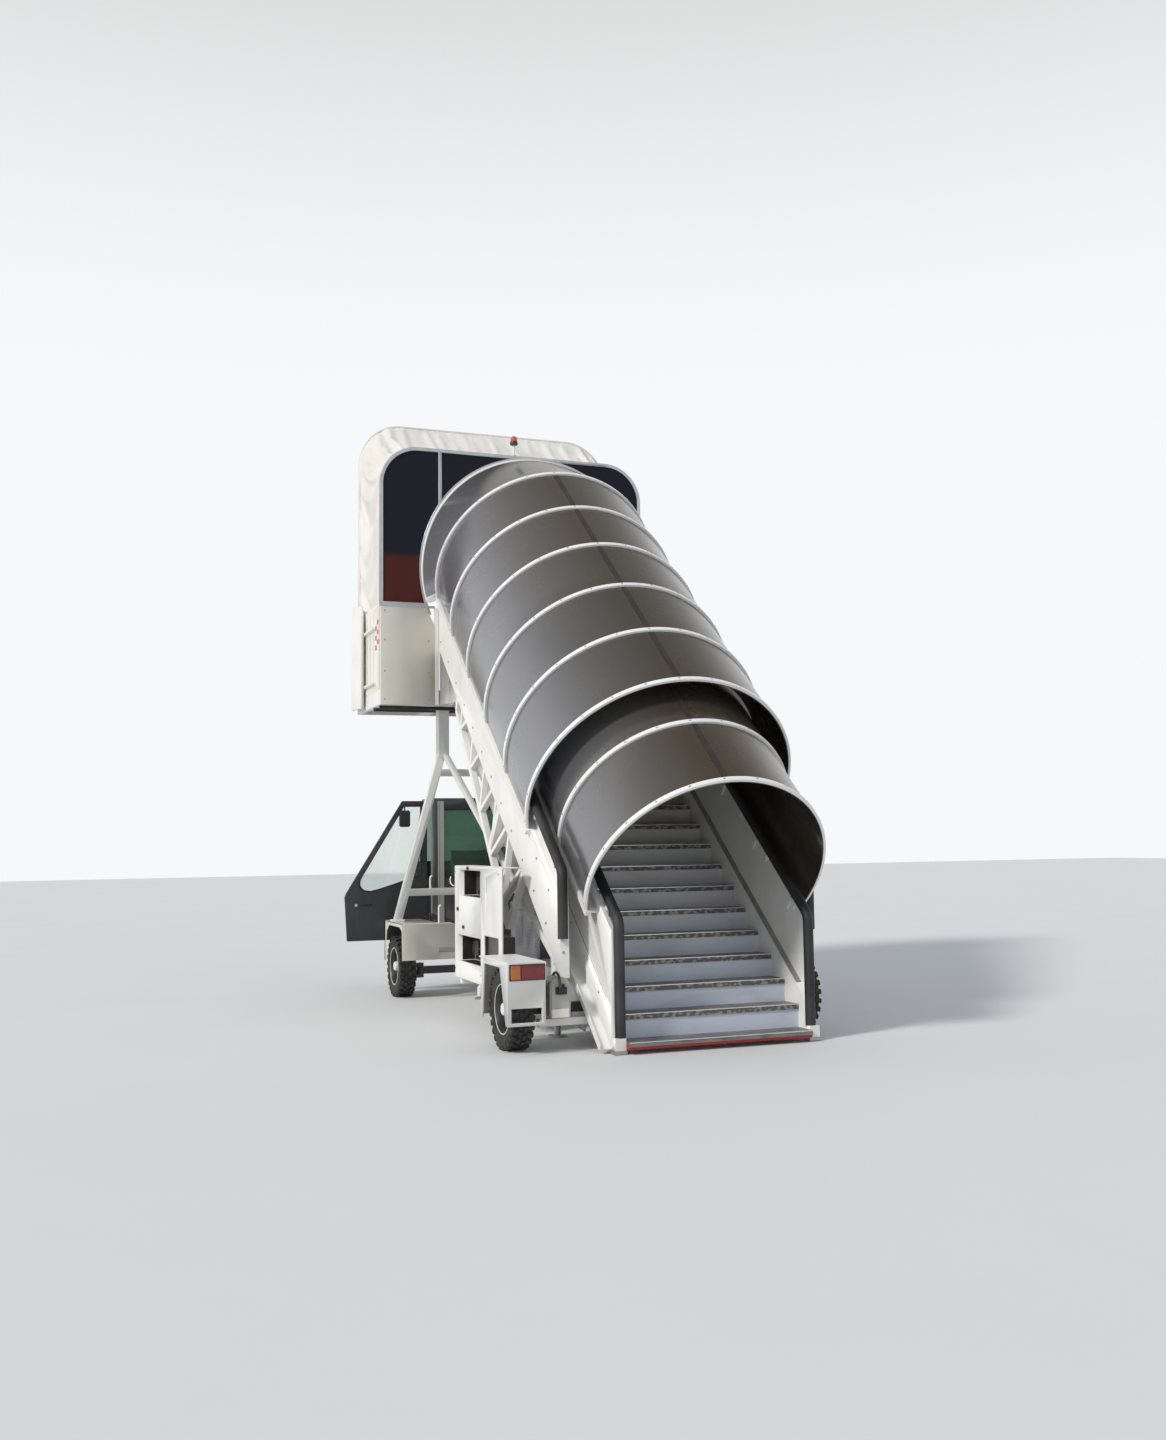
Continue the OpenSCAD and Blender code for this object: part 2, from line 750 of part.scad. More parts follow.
// Sliding side guard: side is -1 on the left and 1 on the right
module guard(side) {
    edge = side < 0 ? platform_left : platform_right;
    guard_y0 = deck_front - 520;
    guard_y1 = deck_front + 60;
    guard_low = deck_bottom + 20;
    guard_high = sill_z + 110;
    color("white") place() mirror([side < 0 ? 1 : 0, 0, 0])
        side_prism(edge + guard_in + seat, edge + guard_out, [[guard_y0, guard_low],
            [guard_y1, guard_low + 30], [guard_y1, guard_high], [guard_y1 - 90, guard_high + 60],
            [guard_y0 + 60, guard_high], [guard_y0, guard_high - 120]]);
}

module guard_left() {
    guard(-1);
}

module guard_right() {
    guard(1);
}

// Two rails that drop behind to the axle and carry the stringers' feet
module chassis_frame() {
    color("white") place() both() {
        block([rail_in, rear_link_y - 30, chassis_low], [rail_out, front_end, chassis_top]);
        block([rail_in, link_y, link_low], [rail_out, rear_link_y + 60, rear_axle_low]);
        block([rail_in, rear_link_y - 30, link_low], [rail_out, rear_link_y + 60, chassis_top]);
        block([rail_in, link_y, link_low],
            [lower_half_w, link_y + member_w, line_z(link_y, stringer_low) + 60]);
    }
}

// Cross-members between the rails, with the lugs that hold the lift cylinders and the tow eye
module chassis_members() {
    member_share = [0.375, 0.604, 0.8];
    eye_y = front_end + seat;
    color("white") place() {
        for (y = concat([rear_link_y - 30, lift_pin_y - member_w / 2],
            [for (share = member_share) rear_axle_y + share * wheelbase]))
            block([-rail_in, y, chassis_low + 20], [rail_in, y + member_w, chassis_top]);
        for (y = concat(fender_arm_y, cab_arm_y))
            block([-rail_in, y, arm_low], [rail_in, y + member_w, chassis_top]);
        for (y = cab_arm_y)
            block([cab_right - 150, y, chassis_top - cut], [cab_right - 70, y + member_w, cab_floor]);
        both() for (x = [cylinder_x - lug_gap, cylinder_x + lug_gap])
            side_prism(x - lug_t / 2, x + lug_t / 2, [
                [lift_pin_y - 40, chassis_top - cut], [lift_pin_y + 40, chassis_top - cut],
                [lift_pin_y + 30, lift_pin_z + 10], [lift_pin_y, lift_pin_z + 34],
                [lift_pin_y - 30, lift_pin_z + 10]]);
        block([-rail_out, eye_y, chassis_low], [rail_out, front_end + 60, chassis_top]);
        difference() {
            block([-tow_eye_w / 2, front_end + 59, tow_eye_z - 40],
                [tow_eye_w / 2, front_end + tow_eye_reach + 38, tow_eye_z + 40]);
            translate([0, front_end + tow_eye_reach, tow_eye_z])
                x_cylinder(-tow_eye_w / 2 - cut, tow_eye_w / 2 + cut, tow_eye_r);
        }
    }
}

// Arms outside the rails that carry the fenders, the cabinet, the cab, the jacks and the flights
module chassis_outriggers() {
    post_d = 100;
    step_arm = rear_link_y + 60;
    color("white") place() {
        both() {
            side_prism(lower_half_w + 10, stringer_out - 20, [[stringer_arm_y, arm_low],
                [stringer_arm_y + post_d, arm_low],
                [stringer_arm_y + post_d, line_z(stringer_arm_y + post_d, stringer_low) - seat],
                [stringer_arm_y, line_z(stringer_arm_y, stringer_low) - seat]]);
            block([rail_out, stringer_arm_y, arm_low],
                [lower_half_w + 11, stringer_arm_y + post_d, chassis_top]);
            side_prism(brace_in, brace_out, [[rear_link_y, chassis_top - 90],
                [step_arm, chassis_top - 90], [step_arm, brace_low_z - 20],
                [rear_link_y, brace_low_z - 20]]);
            for (i = [0, 1])
                block([rail_out, jack_y[i] - 30, arm_low], [jack_x[i] - 40, jack_y[i] + 30, arm_low + 60]);
        }
        block([fender_out, rear_link_y, chassis_top - 100], [-rail_out, step_arm, chassis_top - 20]);
        block([rail_out, rear_link_y, chassis_top - 100], [brace_out, step_arm, chassis_top - 20]);
        for (y = cabinet_arm_y)
            block([cabinet_out + 20, y, chassis_low], [-rail_out, y + member_w, cabinet_low]);
        block([fender_in + 10, link_y, link_low], [-lower_half_w, link_y + member_w, link_low + 60]);
        for (y = fender_arm_y)
            block([front_wheel_left + 300, y, arm_low], [-rail_out, y + member_w, chassis_top]);
        for (y = cab_arm_y) {
            block([cab_left + 50, y, arm_low], [-rail_out, y + member_w, chassis_top]);
            block([cab_left + 150, y, chassis_top - cut], [cab_left + 230, y + member_w, cab_floor]);
        }
    }
}

module front_axle() {
    beam_end = 40;
    color("dimgray") place() translate([0, front_axle_y, front_axle_low]) {
        block([pin_left_x, -beam_end, 0], [pin_right_x, beam_end, axle_h]);
        for (x = [pin_left_x, pin_right_x]) translate([x, 0, 0]) {
            cylinder(h = axle_h, r = beam_end);
            translate([0, 0, -44]) cylinder(h = axle_h + 88, r = king_r);
        }
    }
}

module rear_axle() {
    low = rear_wheel_left + 130;
    high = wheel_right - 100;
    color("dimgray") place() translate([0, rear_axle_y, 0]) {
        block([low, -40, rear_axle_low], [high, 40, rear_axle_low + axle_h]);
        translate([0, 0, wheel_z]) x_cylinder(rear_wheel_left - 60, low + cut, stub_r);
        translate([0, 0, wheel_z]) x_cylinder(high - cut, wheel_right + 60, stub_r);
    }
}

// Steering knuckle: side is -1 on the left and 1 on the right
module knuckle(pin_x, wheel_x, side) {
    arm = 40;
    web_in = 52;
    color("dimgray") place() translate([pin_x, front_axle_y, 0]) mirror([side < 0 ? 1 : 0, 0, 0]) {
        difference() {
            union() {
                block([0, -arm, front_axle_low + axle_h + seat],
                    [web_in + 30, arm, front_axle_low + axle_h + 40]);
                block([0, -arm, front_axle_low - 40], [web_in + 30, arm, front_axle_low - seat]);
                translate([0, 0, front_axle_low + axle_h + seat]) cylinder(h = 40 - seat, r = arm);
                translate([0, 0, front_axle_low - 40]) cylinder(h = 40 - seat, r = arm);
            }
            translate([0, 0, front_axle_low - 60]) cylinder(h = axle_h + 120, r = king_r + seat);
        }
        block([web_in, -arm, front_axle_low - 40], [web_in + 30, arm, front_axle_low + axle_h + 40]);
        translate([0, 0, wheel_z]) x_cylinder(web_in + 30 - cut, abs(wheel_x - pin_x) + 60, stub_r);
    }
}

module knuckle_left() {
    knuckle(pin_left_x, front_wheel_left, -1);
}

module knuckle_right() {
    knuckle(pin_right_x, wheel_right, 1);
}

// Tyre with upright walls and sloped shoulders, round the seat of its rim
module tyre(x, y) {
    facets = 40;
    shoulder = 28;
    color("black") place() translate([x, y, wheel_z]) rotate([0, 90, 0]) difference() {
        hull() {
            cylinder(h = tyre_w * 0.74, r = tyre_r, center = true, $fn = facets);
            cylinder(h = tyre_w * 0.95, r = tyre_r - shoulder, center = true, $fn = facets);
            cylinder(h = tyre_w, r = rim_r + 60, center = true, $fn = facets);
        }
        cylinder(h = tyre_w + 2 * cut, r = rim_r, center = true);
    }
}

// Dished rim with its hub: side is -1 on the left and 1 on the right
module rim(x, y, side) {
    edge = tyre_w / 2 - 12;
    disc_x = side * 10;
    color("dimgray") place() translate([x, y, wheel_z]) rotate([0, 90, 0]) difference() {
        union() {
            difference() {
                translate([0, 0, -edge]) cylinder(h = 2 * edge, r = rim_r - seat);
                translate([0, 0, -edge - cut]) cylinder(h = 2 * edge + 2 * cut, r = rim_r - 22);
            }
            translate([0, 0, disc_x - 8]) cylinder(h = 16, r = rim_r - 21);
            translate([0, 0, side > 0 ? -30 : -tyre_w / 2 + 8]) cylinder(h = tyre_w / 2 + 22, r = 62);
        }
        translate([0, 0, side > 0 ? -31 : -62]) cylinder(h = 93, r = stub_r + seat);
    }
}

module tyre_front_left() {
    tyre(front_wheel_left, front_axle_y);
}

module tyre_front_right() {
    tyre(wheel_right, front_axle_y);
}

module tyre_rear_left() {
    tyre(rear_wheel_left, rear_axle_y);
}

module tyre_rear_right() {
    tyre(wheel_right, rear_axle_y);
}

module rim_front_left() {
    rim(front_wheel_left, front_axle_y, -1);
}

module rim_front_right() {
    rim(wheel_right, front_axle_y, 1);
}

module rim_rear_left() {
    rim(rear_wheel_left, rear_axle_y, -1);
}

module rim_rear_right() {
    rim(wheel_right, rear_axle_y, 1);
}

module front_fenders() {
    back = front_axle_y - 490;
    front = front_axle_y + 370;
    out = front_wheel_left - 105;
    left_in = front_wheel_left + 300;
    right_out = wheel_right + 200;
    low = 430;
    shelf = left_in + 190;
    shelf_low = 560;
    shelf_drop = 24;
    plate = 16;
    top = leg_foot_z;
    color("ivory") place() {
        block([out, back, top - plate], [left_in, front, top]);
        block([out, back, low], [left_in, back + 10, top - cut]);
        block([left_in - 10, back, low], [left_in, front, top - cut]);
        front_prism(back, back + 10) polygon([[left_in - cut, shelf_low], [left_in - cut, top],
            [shelf - 60, top], [shelf, top - shelf_drop], [shelf, shelf_low]]);
        block([rail_out, back, top - plate], [right_out, front, top]);
        block([rail_out, back, low], [right_out, back + 10, top - cut]);
        block([rail_out, back, low], [rail_out + 10, front, top - cut]);
    }
}

// Rear-left fender: a side panel arched over the wheel, top, rear face with its lamp and guard
module fender_rear_left() {
    front = rear_link_y - 140;
    foot = front + 115;
    inner_t = 8;
    band = fender_top - 52;
    cut_low = 266;
    cut_high = 380;
    lamp_shelf = 600;
    color("white") place() {
        block([fender_out, fender_back, fender_top - fender_wall], [fender_in, rear_link_y, fender_top]);
        side_prism(fender_out, fender_out + fender_wall, [[fender_back, fender_low],
            [fender_back, fender_top - cut], [front, fender_top - cut], [foot, fender_low],
            [foot - 70, fender_low], [front - 20, band], [fender_back + 220, band],
            [fender_back + 60, fender_low]]);
        difference() {
            block([fender_out, fender_back, fender_low], [fender_in, fender_back + 20, fender_top - cut]);
            block([fender_out + 30, fender_back - cut, cut_low],
                [fender_in - 30, fender_back + 20 + cut, cut_high]);
        }
        side_prism(fender_out, fender_in, [[front, fender_top - cut], [front + fender_wall, fender_top - cut],
            [foot, fender_low + 20], [foot - fender_wall, fender_low + 20]]);
        block([fender_in - cut, fender_back, lamp_shelf], [fender_in + inner_t, rear_link_y, fender_top]);
        block([fender_in - cut, rear_link_y - 60, chassis_top - 100],
            [fender_in + inner_t, rear_link_y, fender_top - cut]);
    }
}

module tail_lamps() {
    color("darkred") place()
        block([fender_out + 14, fender_back - 22, 600], [fender_in - 3, fender_back - seat, 731]);
}

// Shallow cabinet with a side plate that runs on behind it
module equipment_cabinet() {
    wall = 12;
    plate = 16;
    inner = cabinet_in - wall;
    low_bay = cabinet_low + 165;
    low_bay_top = cabinet_low + 418;
    slot_y = cabinet_seam - 180;
    color("white") place() difference() {
        union() {
            block([cabinet_out, cabinet_seam, cabinet_low], [cabinet_in, cabinet_front, cabinet_high]);
            block([cabinet_out, cabinet_back, cabinet_low],
                [cabinet_out + plate, cabinet_seam + cut, cabinet_high]);
            block([cabinet_out, cabinet_back, cabinet_high - wall],
                [cabinet_in, cabinet_seam + cut, cabinet_high]);
        }
        block([cabinet_out - cut, cabinet_seam + 40, cabinet_high - 290],
            [inner, cabinet_front - 190, cabinet_high - 40]);
        block([cabinet_out - cut, cabinet_seam + 40, low_bay], [inner, cabinet_front - 110, low_bay_top]);
        block([cabinet_out - cut, cabinet_back + 110, low_bay],
            [cabinet_out + plate + cut, cabinet_seam - 80, low_bay_top + 40]);
        block([cabinet_out - cut, slot_y, cabinet_high - 240],
            [cabinet_out + plate + cut, slot_y + 30, cabinet_high - 98]);
    }
}

module hydraulic_tank() {
    tank_y = rear_axle_y - 210;
    out = fender_in + 60;
    in = out + 180;
    low = 280;
    middle = 480;
    r = 130;
    color("gainsboro") place() {
        translate([0, tank_y, middle]) x_cylinder(out, in, r);
        block([out, tank_y - r, low], [in, tank_y + r, middle + cut]);
    }
}

module engine_block() {
    engine_high = 1050;
    color("gray") place()
        block([-500, front_axle_y - 1770, chassis_top], [300, front_axle_y - 770, engine_high]);
}

function cab_outline(inset) = [[cab_back + inset, cab_floor + inset], [cab_back + inset, cab_top - inset],
    [roof_front - inset * 0.5, cab_top - inset], [cab_front - 90 - inset, 1420],
    [cab_front - inset, nose_z], [cab_front - 40 - inset, cab_floor + inset]];

module cab_body() {
    door_front = cab_front - 70;
    color("dimgray") place() {
        difference() {
            side_prism(cab_left, cab_right, cab_outline(0));
            side_prism(cab_left + cab_wall, cab_right - cab_wall, cab_outline(cab_wall));
            side_prism(cab_left - cut, cab_left + cab_wall + cut, [
                [hinge_y + 20, cab_floor + 20], [hinge_y + 20, cab_top - 50],
                [roof_front - 40, cab_top - 50], [cab_front - 150, 1410], [door_front, nose_z],
                [door_front - 30, cab_floor + 20]]);
            block([cab_right - cab_wall - cut, cab_back + 120, 1350],
                [cab_right + cut, roof_front - 30, cab_top - 120]);
            block([cab_left + 110, cab_back - cut, back_window_low],
                [cab_right - 110, cab_back + cab_wall + cut, back_window_high]);
            side_prism(cab_left + 70, cab_right - 70, [[roof_front - 30, cab_top - 60],
                [roof_front + 60, cab_top + 60], [cab_front, 1480], [cab_front - 180, 1480]]);
        }
        for (z = [760, 1180]) {
            translate([hinge_x, hinge_y, z]) cylinder(h = 120, r = 8);
            block([hinge_x - 10, cab_back, z + 120], [cab_left + cut, hinge_y + 8, z + 132]);
            block([hinge_x - 10, cab_back, z - 12], [cab_left + cut, hinge_y + 8, z]);
        }
    }
}

module cab_glazing() {
    color("darkseagreen") place() {
        block([cab_right - 24, cab_back + 121, 1351], [cab_right - 18, roof_front - 31, cab_top - 121]);
        block([cab_left + 111, cab_back + 16, back_window_low + 1],
            [cab_right - 111, cab_back + 22, back_window_high - 1]);
        side_prism(cab_left + 71, cab_right - 71, [[roof_front - 6, cab_top - 42],
            [roof_front + 2, cab_top - 42], [cab_front - 122, 1481], [cab_front - 130, 1481]]);
    }
}

// Outline of the cab's door as distance from the hinge and height
function door_outline(inset) = [[28 + inset, cab_floor + 28 + inset], [28 + inset, cab_top - 58 - inset],
    [roof_front - 48 - hinge_y - inset * 0.6, cab_top - 58 - inset],
    [cab_front - 158 - hinge_y - inset, 1410], [cab_front - door_nose - hinge_y - inset, nose_z],
    [cab_front - 108 - hinge_y - inset, cab_floor + 28 + inset]];

module door_shape(y0, y1) {
    translate([hinge_x, hinge_y, 0]) mirror([1, 0, 0]) front_prism(y0, y1) children();
}

// Door as it stands open, square to the cab's side
module cab_door() {
    color("dimgray") place() {
        difference() {
            door_shape(15, 15 + cab_wall) polygon(door_outline(0));
            door_shape(14, 16 + cab_wall) intersection() {
                polygon(door_outline(70));
                translate([0, window_low]) square([2000, 2000]);
            }
        }
        for (z = [780, 1200]) difference() {
            union() {
                translate([hinge_x, hinge_y, z]) cylinder(h = 80, r = 14);
                block([hinge_x - 60, hinge_y + 2, z], [hinge_x - 6, hinge_y + 10, z + 80]);
                block([hinge_x - 60, hinge_y + 9, z], [hinge_x - 30, hinge_y + 15 + cut, z + 80]);
            }
            translate([hinge_x, hinge_y, z - cut]) cylinder(h = 82, r = 8 + seat);
        }
    }
}

module cab_door_glass() {
    color("lightcyan") place() door_shape(32, 38) intersection() {
        polygon(door_outline(70 + seat));
        translate([0, window_low + seat]) square([2000, 2000]);
    }
}

module driver_seat() {
    seat_x = cab_left + 270;
    seat_w = 440;
    back = cab_back + 150;
    base_z = cab_floor + 300;
    cushion_z = cab_floor + 420;
    head_z = cab_floor + 1050;
    color("black") place() {
        block([seat_x, back, cab_floor + cab_wall], [seat_x + seat_w, back + 410, base_z]);
        block([seat_x, back, base_z], [seat_x + seat_w, back + 450, cushion_z]);
        side_prism(seat_x, seat_x + seat_w, [[back, cushion_z - cut], [back + 130, cushion_z - cut],
            [back + 40, head_z], [back - 60, head_z]]);
    }
}

module steering_wheel() {
    wheel_x = cab_left + 490;
    tilt = 20;
    column_r = 24;
    wheel_high = 640;
    column = (wheel_high - cab_wall) / cos(tilt) - column_r * tan(tilt) - cut;
    color("black") place() translate([wheel_x, cab_back + 720, cab_floor + wheel_high]) rotate([tilt, 0, 0]) {
        rotate_extrude() translate([185, 0]) circle(r = 15);
        cylinder(h = 24, r = 45, center = true);
        for (a = [90, 210, 330]) rotate([0, 0, a]) block([30, -14, -6], [186, 14, 6]);
        translate([0, 0, -column]) cylinder(h = column, r = column_r);
    }
}

// Portal in x and z: two leaning legs and two cross beams
module portal_outline() {
    low_beam = leg_foot_z + 320;
    high_beam = leg_head_z - 270;
    beam_h = 80;
    fall_left = (leg_foot_left + leg_head_x) / (leg_head_z - leg_foot_z);
    fall_right = (leg_foot_right - leg_head_x) / (leg_head_z - leg_foot_z);
    intersection() {
        union() {
            flat_bar([leg_foot_left + 60 * fall_left, leg_foot_z - 60], [-leg_head_x, leg_head_z], leg_w);
            flat_bar([leg_foot_right + 60 * fall_right, leg_foot_z - 60], [leg_head_x, leg_head_z], leg_w);
            for (z = [low_beam, high_beam]) let (rise = z - leg_foot_z)
                translate([leg_foot_left - fall_left * rise, z - beam_h / 2])
                    square([leg_foot_right - leg_foot_left + (fall_left - fall_right) * rise, beam_h]);
        }
        translate([2 * leg_foot_left, leg_foot_z]) square([-4 * leg_foot_left, deck_bottom - leg_foot_z]);
    }
}

module support_frame() {
    color("white") place() {
        front_prism(frame_y - leg_d / 2, frame_y + leg_d / 2) portal_outline();
        for (x = [leg_foot_left, leg_foot_right])
            block([x - 70, frame_y - 60, leg_foot_z], [x + 70, frame_y + 60, leg_foot_z + 24]);
        both() {
            block([leg_head_x - 60, frame_y - 70, leg_head_z - 90],
                [leg_head_x + 60, frame_y + 70, deck_bottom - seat]);
            side_bar(brace_in, brace_out, [brace_low_y, brace_low_z + 20], [frame_y, leg_head_z - 40], 64);
            block([brace_in - 6, rear_link_y, brace_low_z - 20],
                [brace_out + 6, brace_low_y + 60, brace_low_z + 30]);
        }
    }
}

// Places what follows over each of the four jacks
module at_jacks() {
    both() for (i = [0, 1]) translate([jack_x[i], jack_y[i], 0]) children();
}

module jack_housings() {
    color("white") place() at_jacks() difference() {
        block([-40, -40, 300], [40, 40, 640]);
        translate([0, 0, 299]) cylinder(h = 330, r = jack_r + seat);
    }
}

module jack_legs() {
    color("silver") place() at_jacks() {
        cylinder(h = 14, r = 85);
        cylinder(h = 420, r = jack_r);
    }
}

module lift_barrels() {
    color("dimgray") place() both() slope() translate([cylinder_x, 0, cylinder_off]) {
        difference() {
            translate([0, barrel_high_u, 0]) rotate([90, 0, 0])
                cylinder(h = barrel_high_u - barrel_low_u - 30, r = barrel_r);
            translate([0, barrel_high_u + cut, 0]) rotate([90, 0, 0])
                cylinder(h = barrel_high_u - barrel_low_u - 60, r = rod_r + 0.5);
        }
        translate([0, barrel_low_u, 0]) x_cylinder(-20, 20, 34);
    }
}

module lift_rods() {
    color("silver") place() both() slope() translate([cylinder_x, 0, cylinder_off])
        translate([0, rod_beam_u + 4, 0]) rotate([90, 0, 0])
            cylinder(h = rod_beam_u + 4 - barrel_low_u - 70, r = rod_r);
}

chassis_frame();
chassis_members();
chassis_outriggers();
front_axle();
rear_axle();
knuckle_left();
knuckle_right();
tyre_front_left();
tyre_front_right();
tyre_rear_left();
tyre_rear_right();
rim_front_left();
rim_front_right();
rim_rear_left();
rim_rear_right();
front_fenders();
fender_rear_left();
tail_lamps();
equipment_cabinet();
hydraulic_tank();
engine_block();
cab_body();
cab_glazing();
cab_door();
cab_door_glass();
driver_seat();
steering_wheel();
support_frame();
jack_housings();
jack_legs();
lift_barrels();
lift_rods();
lower_stringers();
lower_treads();
lower_risers();
lower_handrails();
bumper_bar();
lower_canopy_hoops();
lower_canopy_sheet();
upper_beams();
upper_truss();
upper_treads();
upper_risers();
upper_handrails();
upper_canopy_hoops();
upper_canopy_sheet();
canopy_collar();
platform_floor();
platform_walls();
platform_frame();
platform_windows();
platform_bumper();
hood();
front_hoop();
beacon();
guard_left();
guard_right();
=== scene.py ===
import json
from math import acos, atan2, cos, pi, radians, sin, tan

import bmesh
import bpy
from mathutils import Matrix, Vector
from mathutils.geometry import tessellate_polygon


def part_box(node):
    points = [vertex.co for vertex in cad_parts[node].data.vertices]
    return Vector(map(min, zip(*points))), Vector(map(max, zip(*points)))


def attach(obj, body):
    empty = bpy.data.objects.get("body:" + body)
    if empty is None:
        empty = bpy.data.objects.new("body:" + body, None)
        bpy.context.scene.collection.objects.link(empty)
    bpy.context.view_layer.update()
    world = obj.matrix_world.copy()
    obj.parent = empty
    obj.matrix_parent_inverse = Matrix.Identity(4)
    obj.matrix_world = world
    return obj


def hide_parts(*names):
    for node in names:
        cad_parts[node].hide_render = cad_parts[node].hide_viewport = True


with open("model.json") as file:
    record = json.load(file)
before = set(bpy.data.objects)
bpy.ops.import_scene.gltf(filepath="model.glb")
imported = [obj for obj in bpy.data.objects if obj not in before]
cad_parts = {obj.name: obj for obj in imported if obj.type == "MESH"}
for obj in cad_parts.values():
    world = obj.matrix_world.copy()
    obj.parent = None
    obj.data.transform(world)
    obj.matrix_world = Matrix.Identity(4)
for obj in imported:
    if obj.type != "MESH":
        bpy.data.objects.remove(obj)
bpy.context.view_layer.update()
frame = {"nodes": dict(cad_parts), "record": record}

# Driving sizes of the stairs, in metres
RISER = 0.195
GOING = 0.236
LOWER_LAST = 12
SLOPE = atan2(RISER, GOING)
APART = 0.0003  # keeps faces that meet from lying in one plane
WELD = 1e-5  # places nearer than this are one

# Foot of the stairs in the row frame, from the lower steps
steps_low, steps_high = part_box("lower_treads")
CENTRE_X = (steps_low.x + steps_high.x) / 2
FOOT_Y = steps_low.y
FOOT_Z = steps_high.z - LOWER_LAST * RISER

# Platform, from the deck and the rear wall
deck_low, deck_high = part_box("platform_floor")
WALL_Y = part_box("canopy_collar")[1].y + APART - FOOT_Y
FLOOR_Z = deck_high.z
DECK_BOTTOM = deck_low.z
DECK_FRONT = deck_high.y - FOOT_Y
DECK_LEFT = deck_low.x - CENTRE_X
DECK_RIGHT = deck_high.x - CENTRE_X


def at(x, y, z):
    """A place given from the foot of the stairs: x from their centre line, y forward, z from the ground."""
    return Vector((CENTRE_X + x, FOOT_Y + y, z))


def up_slope(y, n):
    """The distance up the slope of the place y on a line n off the steps' edges."""
    return (y + n * sin(SLOPE)) / cos(SLOPE)


def on_slope(x, u, n):
    """A place on the flights: u up along the steps' edges, n square to them."""
    y = u * cos(SLOPE) - n * sin(SLOPE)
    z = FOOT_Z + u * sin(SLOPE) + n * cos(SLOPE)
    return at(x, y, z)


def stand(name, data):
    """An object in the scene that carries the data."""
    thing = bpy.data.objects.new(name, data)
    bpy.context.scene.collection.objects.link(thing)
    return thing


def add_node(nodes, kind, values=None):
    """A shader node with some of its inputs set."""
    node = nodes.new("ShaderNode" + kind)
    for name, value in (values or {}).items():
        node.inputs[name].default_value = value
    return node


def turns(count, sweep=2 * pi, first=0):
    """Angles at equal steps of a sweep, from the step first on, without the sweep's end."""
    return [sweep * i / count for i in range(first, count)]


# Camera

CAMERA_PLACE = (-4.659, -13.241, 1.728)
CAMERA_YAW = radians(20.467)
CAMERA_PITCH = radians(4.96)
CAMERA_ROLL = radians(-0.758)
CAMERA_LENS = 34.15
CAMERA_SENSOR = 36


def make_camera():
    level = Vector((sin(CAMERA_YAW), cos(CAMERA_YAW), 0))
    right = Vector((cos(CAMERA_YAW), -sin(CAMERA_YAW), 0))
    up = Vector((0, 0, 1))
    ahead = level * cos(CAMERA_PITCH) + up * sin(CAMERA_PITCH)
    above = up * cos(CAMERA_PITCH) - level * sin(CAMERA_PITCH)
    rolled_right = right * cos(CAMERA_ROLL) + above * sin(CAMERA_ROLL)
    rolled_above = above * cos(CAMERA_ROLL) - right * sin(CAMERA_ROLL)
    turn = Matrix((rolled_right, rolled_above, -ahead)).transposed().to_4x4()
    data = bpy.data.cameras.new("view")
    data.sensor_fit = "VERTICAL"
    data.sensor_height = CAMERA_SENSOR
    data.lens = CAMERA_LENS
    data.clip_end = 500
    camera = stand("view", data)
    camera.matrix_world = Matrix.Translation(CAMERA_PLACE) @ turn
    bpy.context.scene.camera = camera


# Light, world and floor

SUN_DIRECTION = (0.80, 0.28, -0.62)
SUN_STRENGTH = 2.1
SUN_ANGLE = radians(9)
SUN_COLOUR = (1.0, 0.97, 0.92)
WORLD_LIGHT = (0.80, 0.86, 0.95)
WORLD_STRENGTH = 0.62
BACKGROUND = (0.93, 0.94, 0.95)
BACKGROUND_HIGH = (0.25, 0.24, 0.23)
HORIZON = 0.30
OVERHEAD = 0.95
FLOOR_COLOUR = (0.74, 0.74, 0.73)
FLOOR_SIZE = 120


def make_light():
    data = bpy.data.lights.new("sun", "SUN")
    data.energy = SUN_STRENGTH
    data.angle = SUN_ANGLE
    data.color = SUN_COLOUR
    sun = stand("sun", data)
    sun.matrix_world = Vector(SUN_DIRECTION).to_track_quat("-Z", "Y").to_matrix().to_4x4()


def make_world():
    """Even light, and a background that only rays from the lens, glass and glossy faces meet."""
    world = bpy.data.worlds.new("world")
    bpy.context.scene.world = world
    world.use_nodes = True
    nodes = world.node_tree.nodes
    links = world.node_tree.links
    light = nodes["Background"]
    light.inputs["Color"].default_value = (*WORLD_LIGHT, 1)
    light.inputs["Strength"].default_value = WORLD_STRENGTH
    where = add_node(nodes, "TexCoord")
    split = add_node(nodes, "SeparateXYZ")
    rise = add_node(nodes, "MapRange", {"From Min": HORIZON, "From Max": OVERHEAD})
    rise.interpolation_type = "SMOOTHSTEP"
    blend = add_node(nodes, "Mix")
    blend.data_type = "RGBA"
    blend.inputs[6].default_value = (*BACKGROUND, 1)
    blend.inputs[7].default_value = (*BACKGROUND_HIGH, 1)
    seen = add_node(nodes, "Background")
    path = add_node(nodes, "LightPath")
    first = add_node(nodes, "Math")
    first.operation = "MAXIMUM"
    second = add_node(nodes, "Math")
    second.operation = "MAXIMUM"
    mix = add_node(nodes, "MixShader")
    for start, end in ((where.outputs["Generated"], split.inputs[0]),
                       (split.outputs["Z"], rise.inputs["Value"]),
                       (rise.outputs["Result"], blend.inputs["Factor"]),
                       (blend.outputs[2], seen.inputs["Color"]),
                       (path.outputs["Is Camera Ray"], first.inputs[0]),
                       (path.outputs["Is Transmission Ray"], first.inputs[1]),
                       (first.outputs[0], second.inputs[0]),
                       (path.outputs["Is Glossy Ray"], second.inputs[1]),
                       (second.outputs[0], mix.inputs[0]),
                       (light.outputs[0], mix.inputs[1]),
                       (seen.outputs[0], mix.inputs[2]),
                       (mix.outputs[0], nodes["World Output"].inputs["Surface"])):
        links.new(start, end)


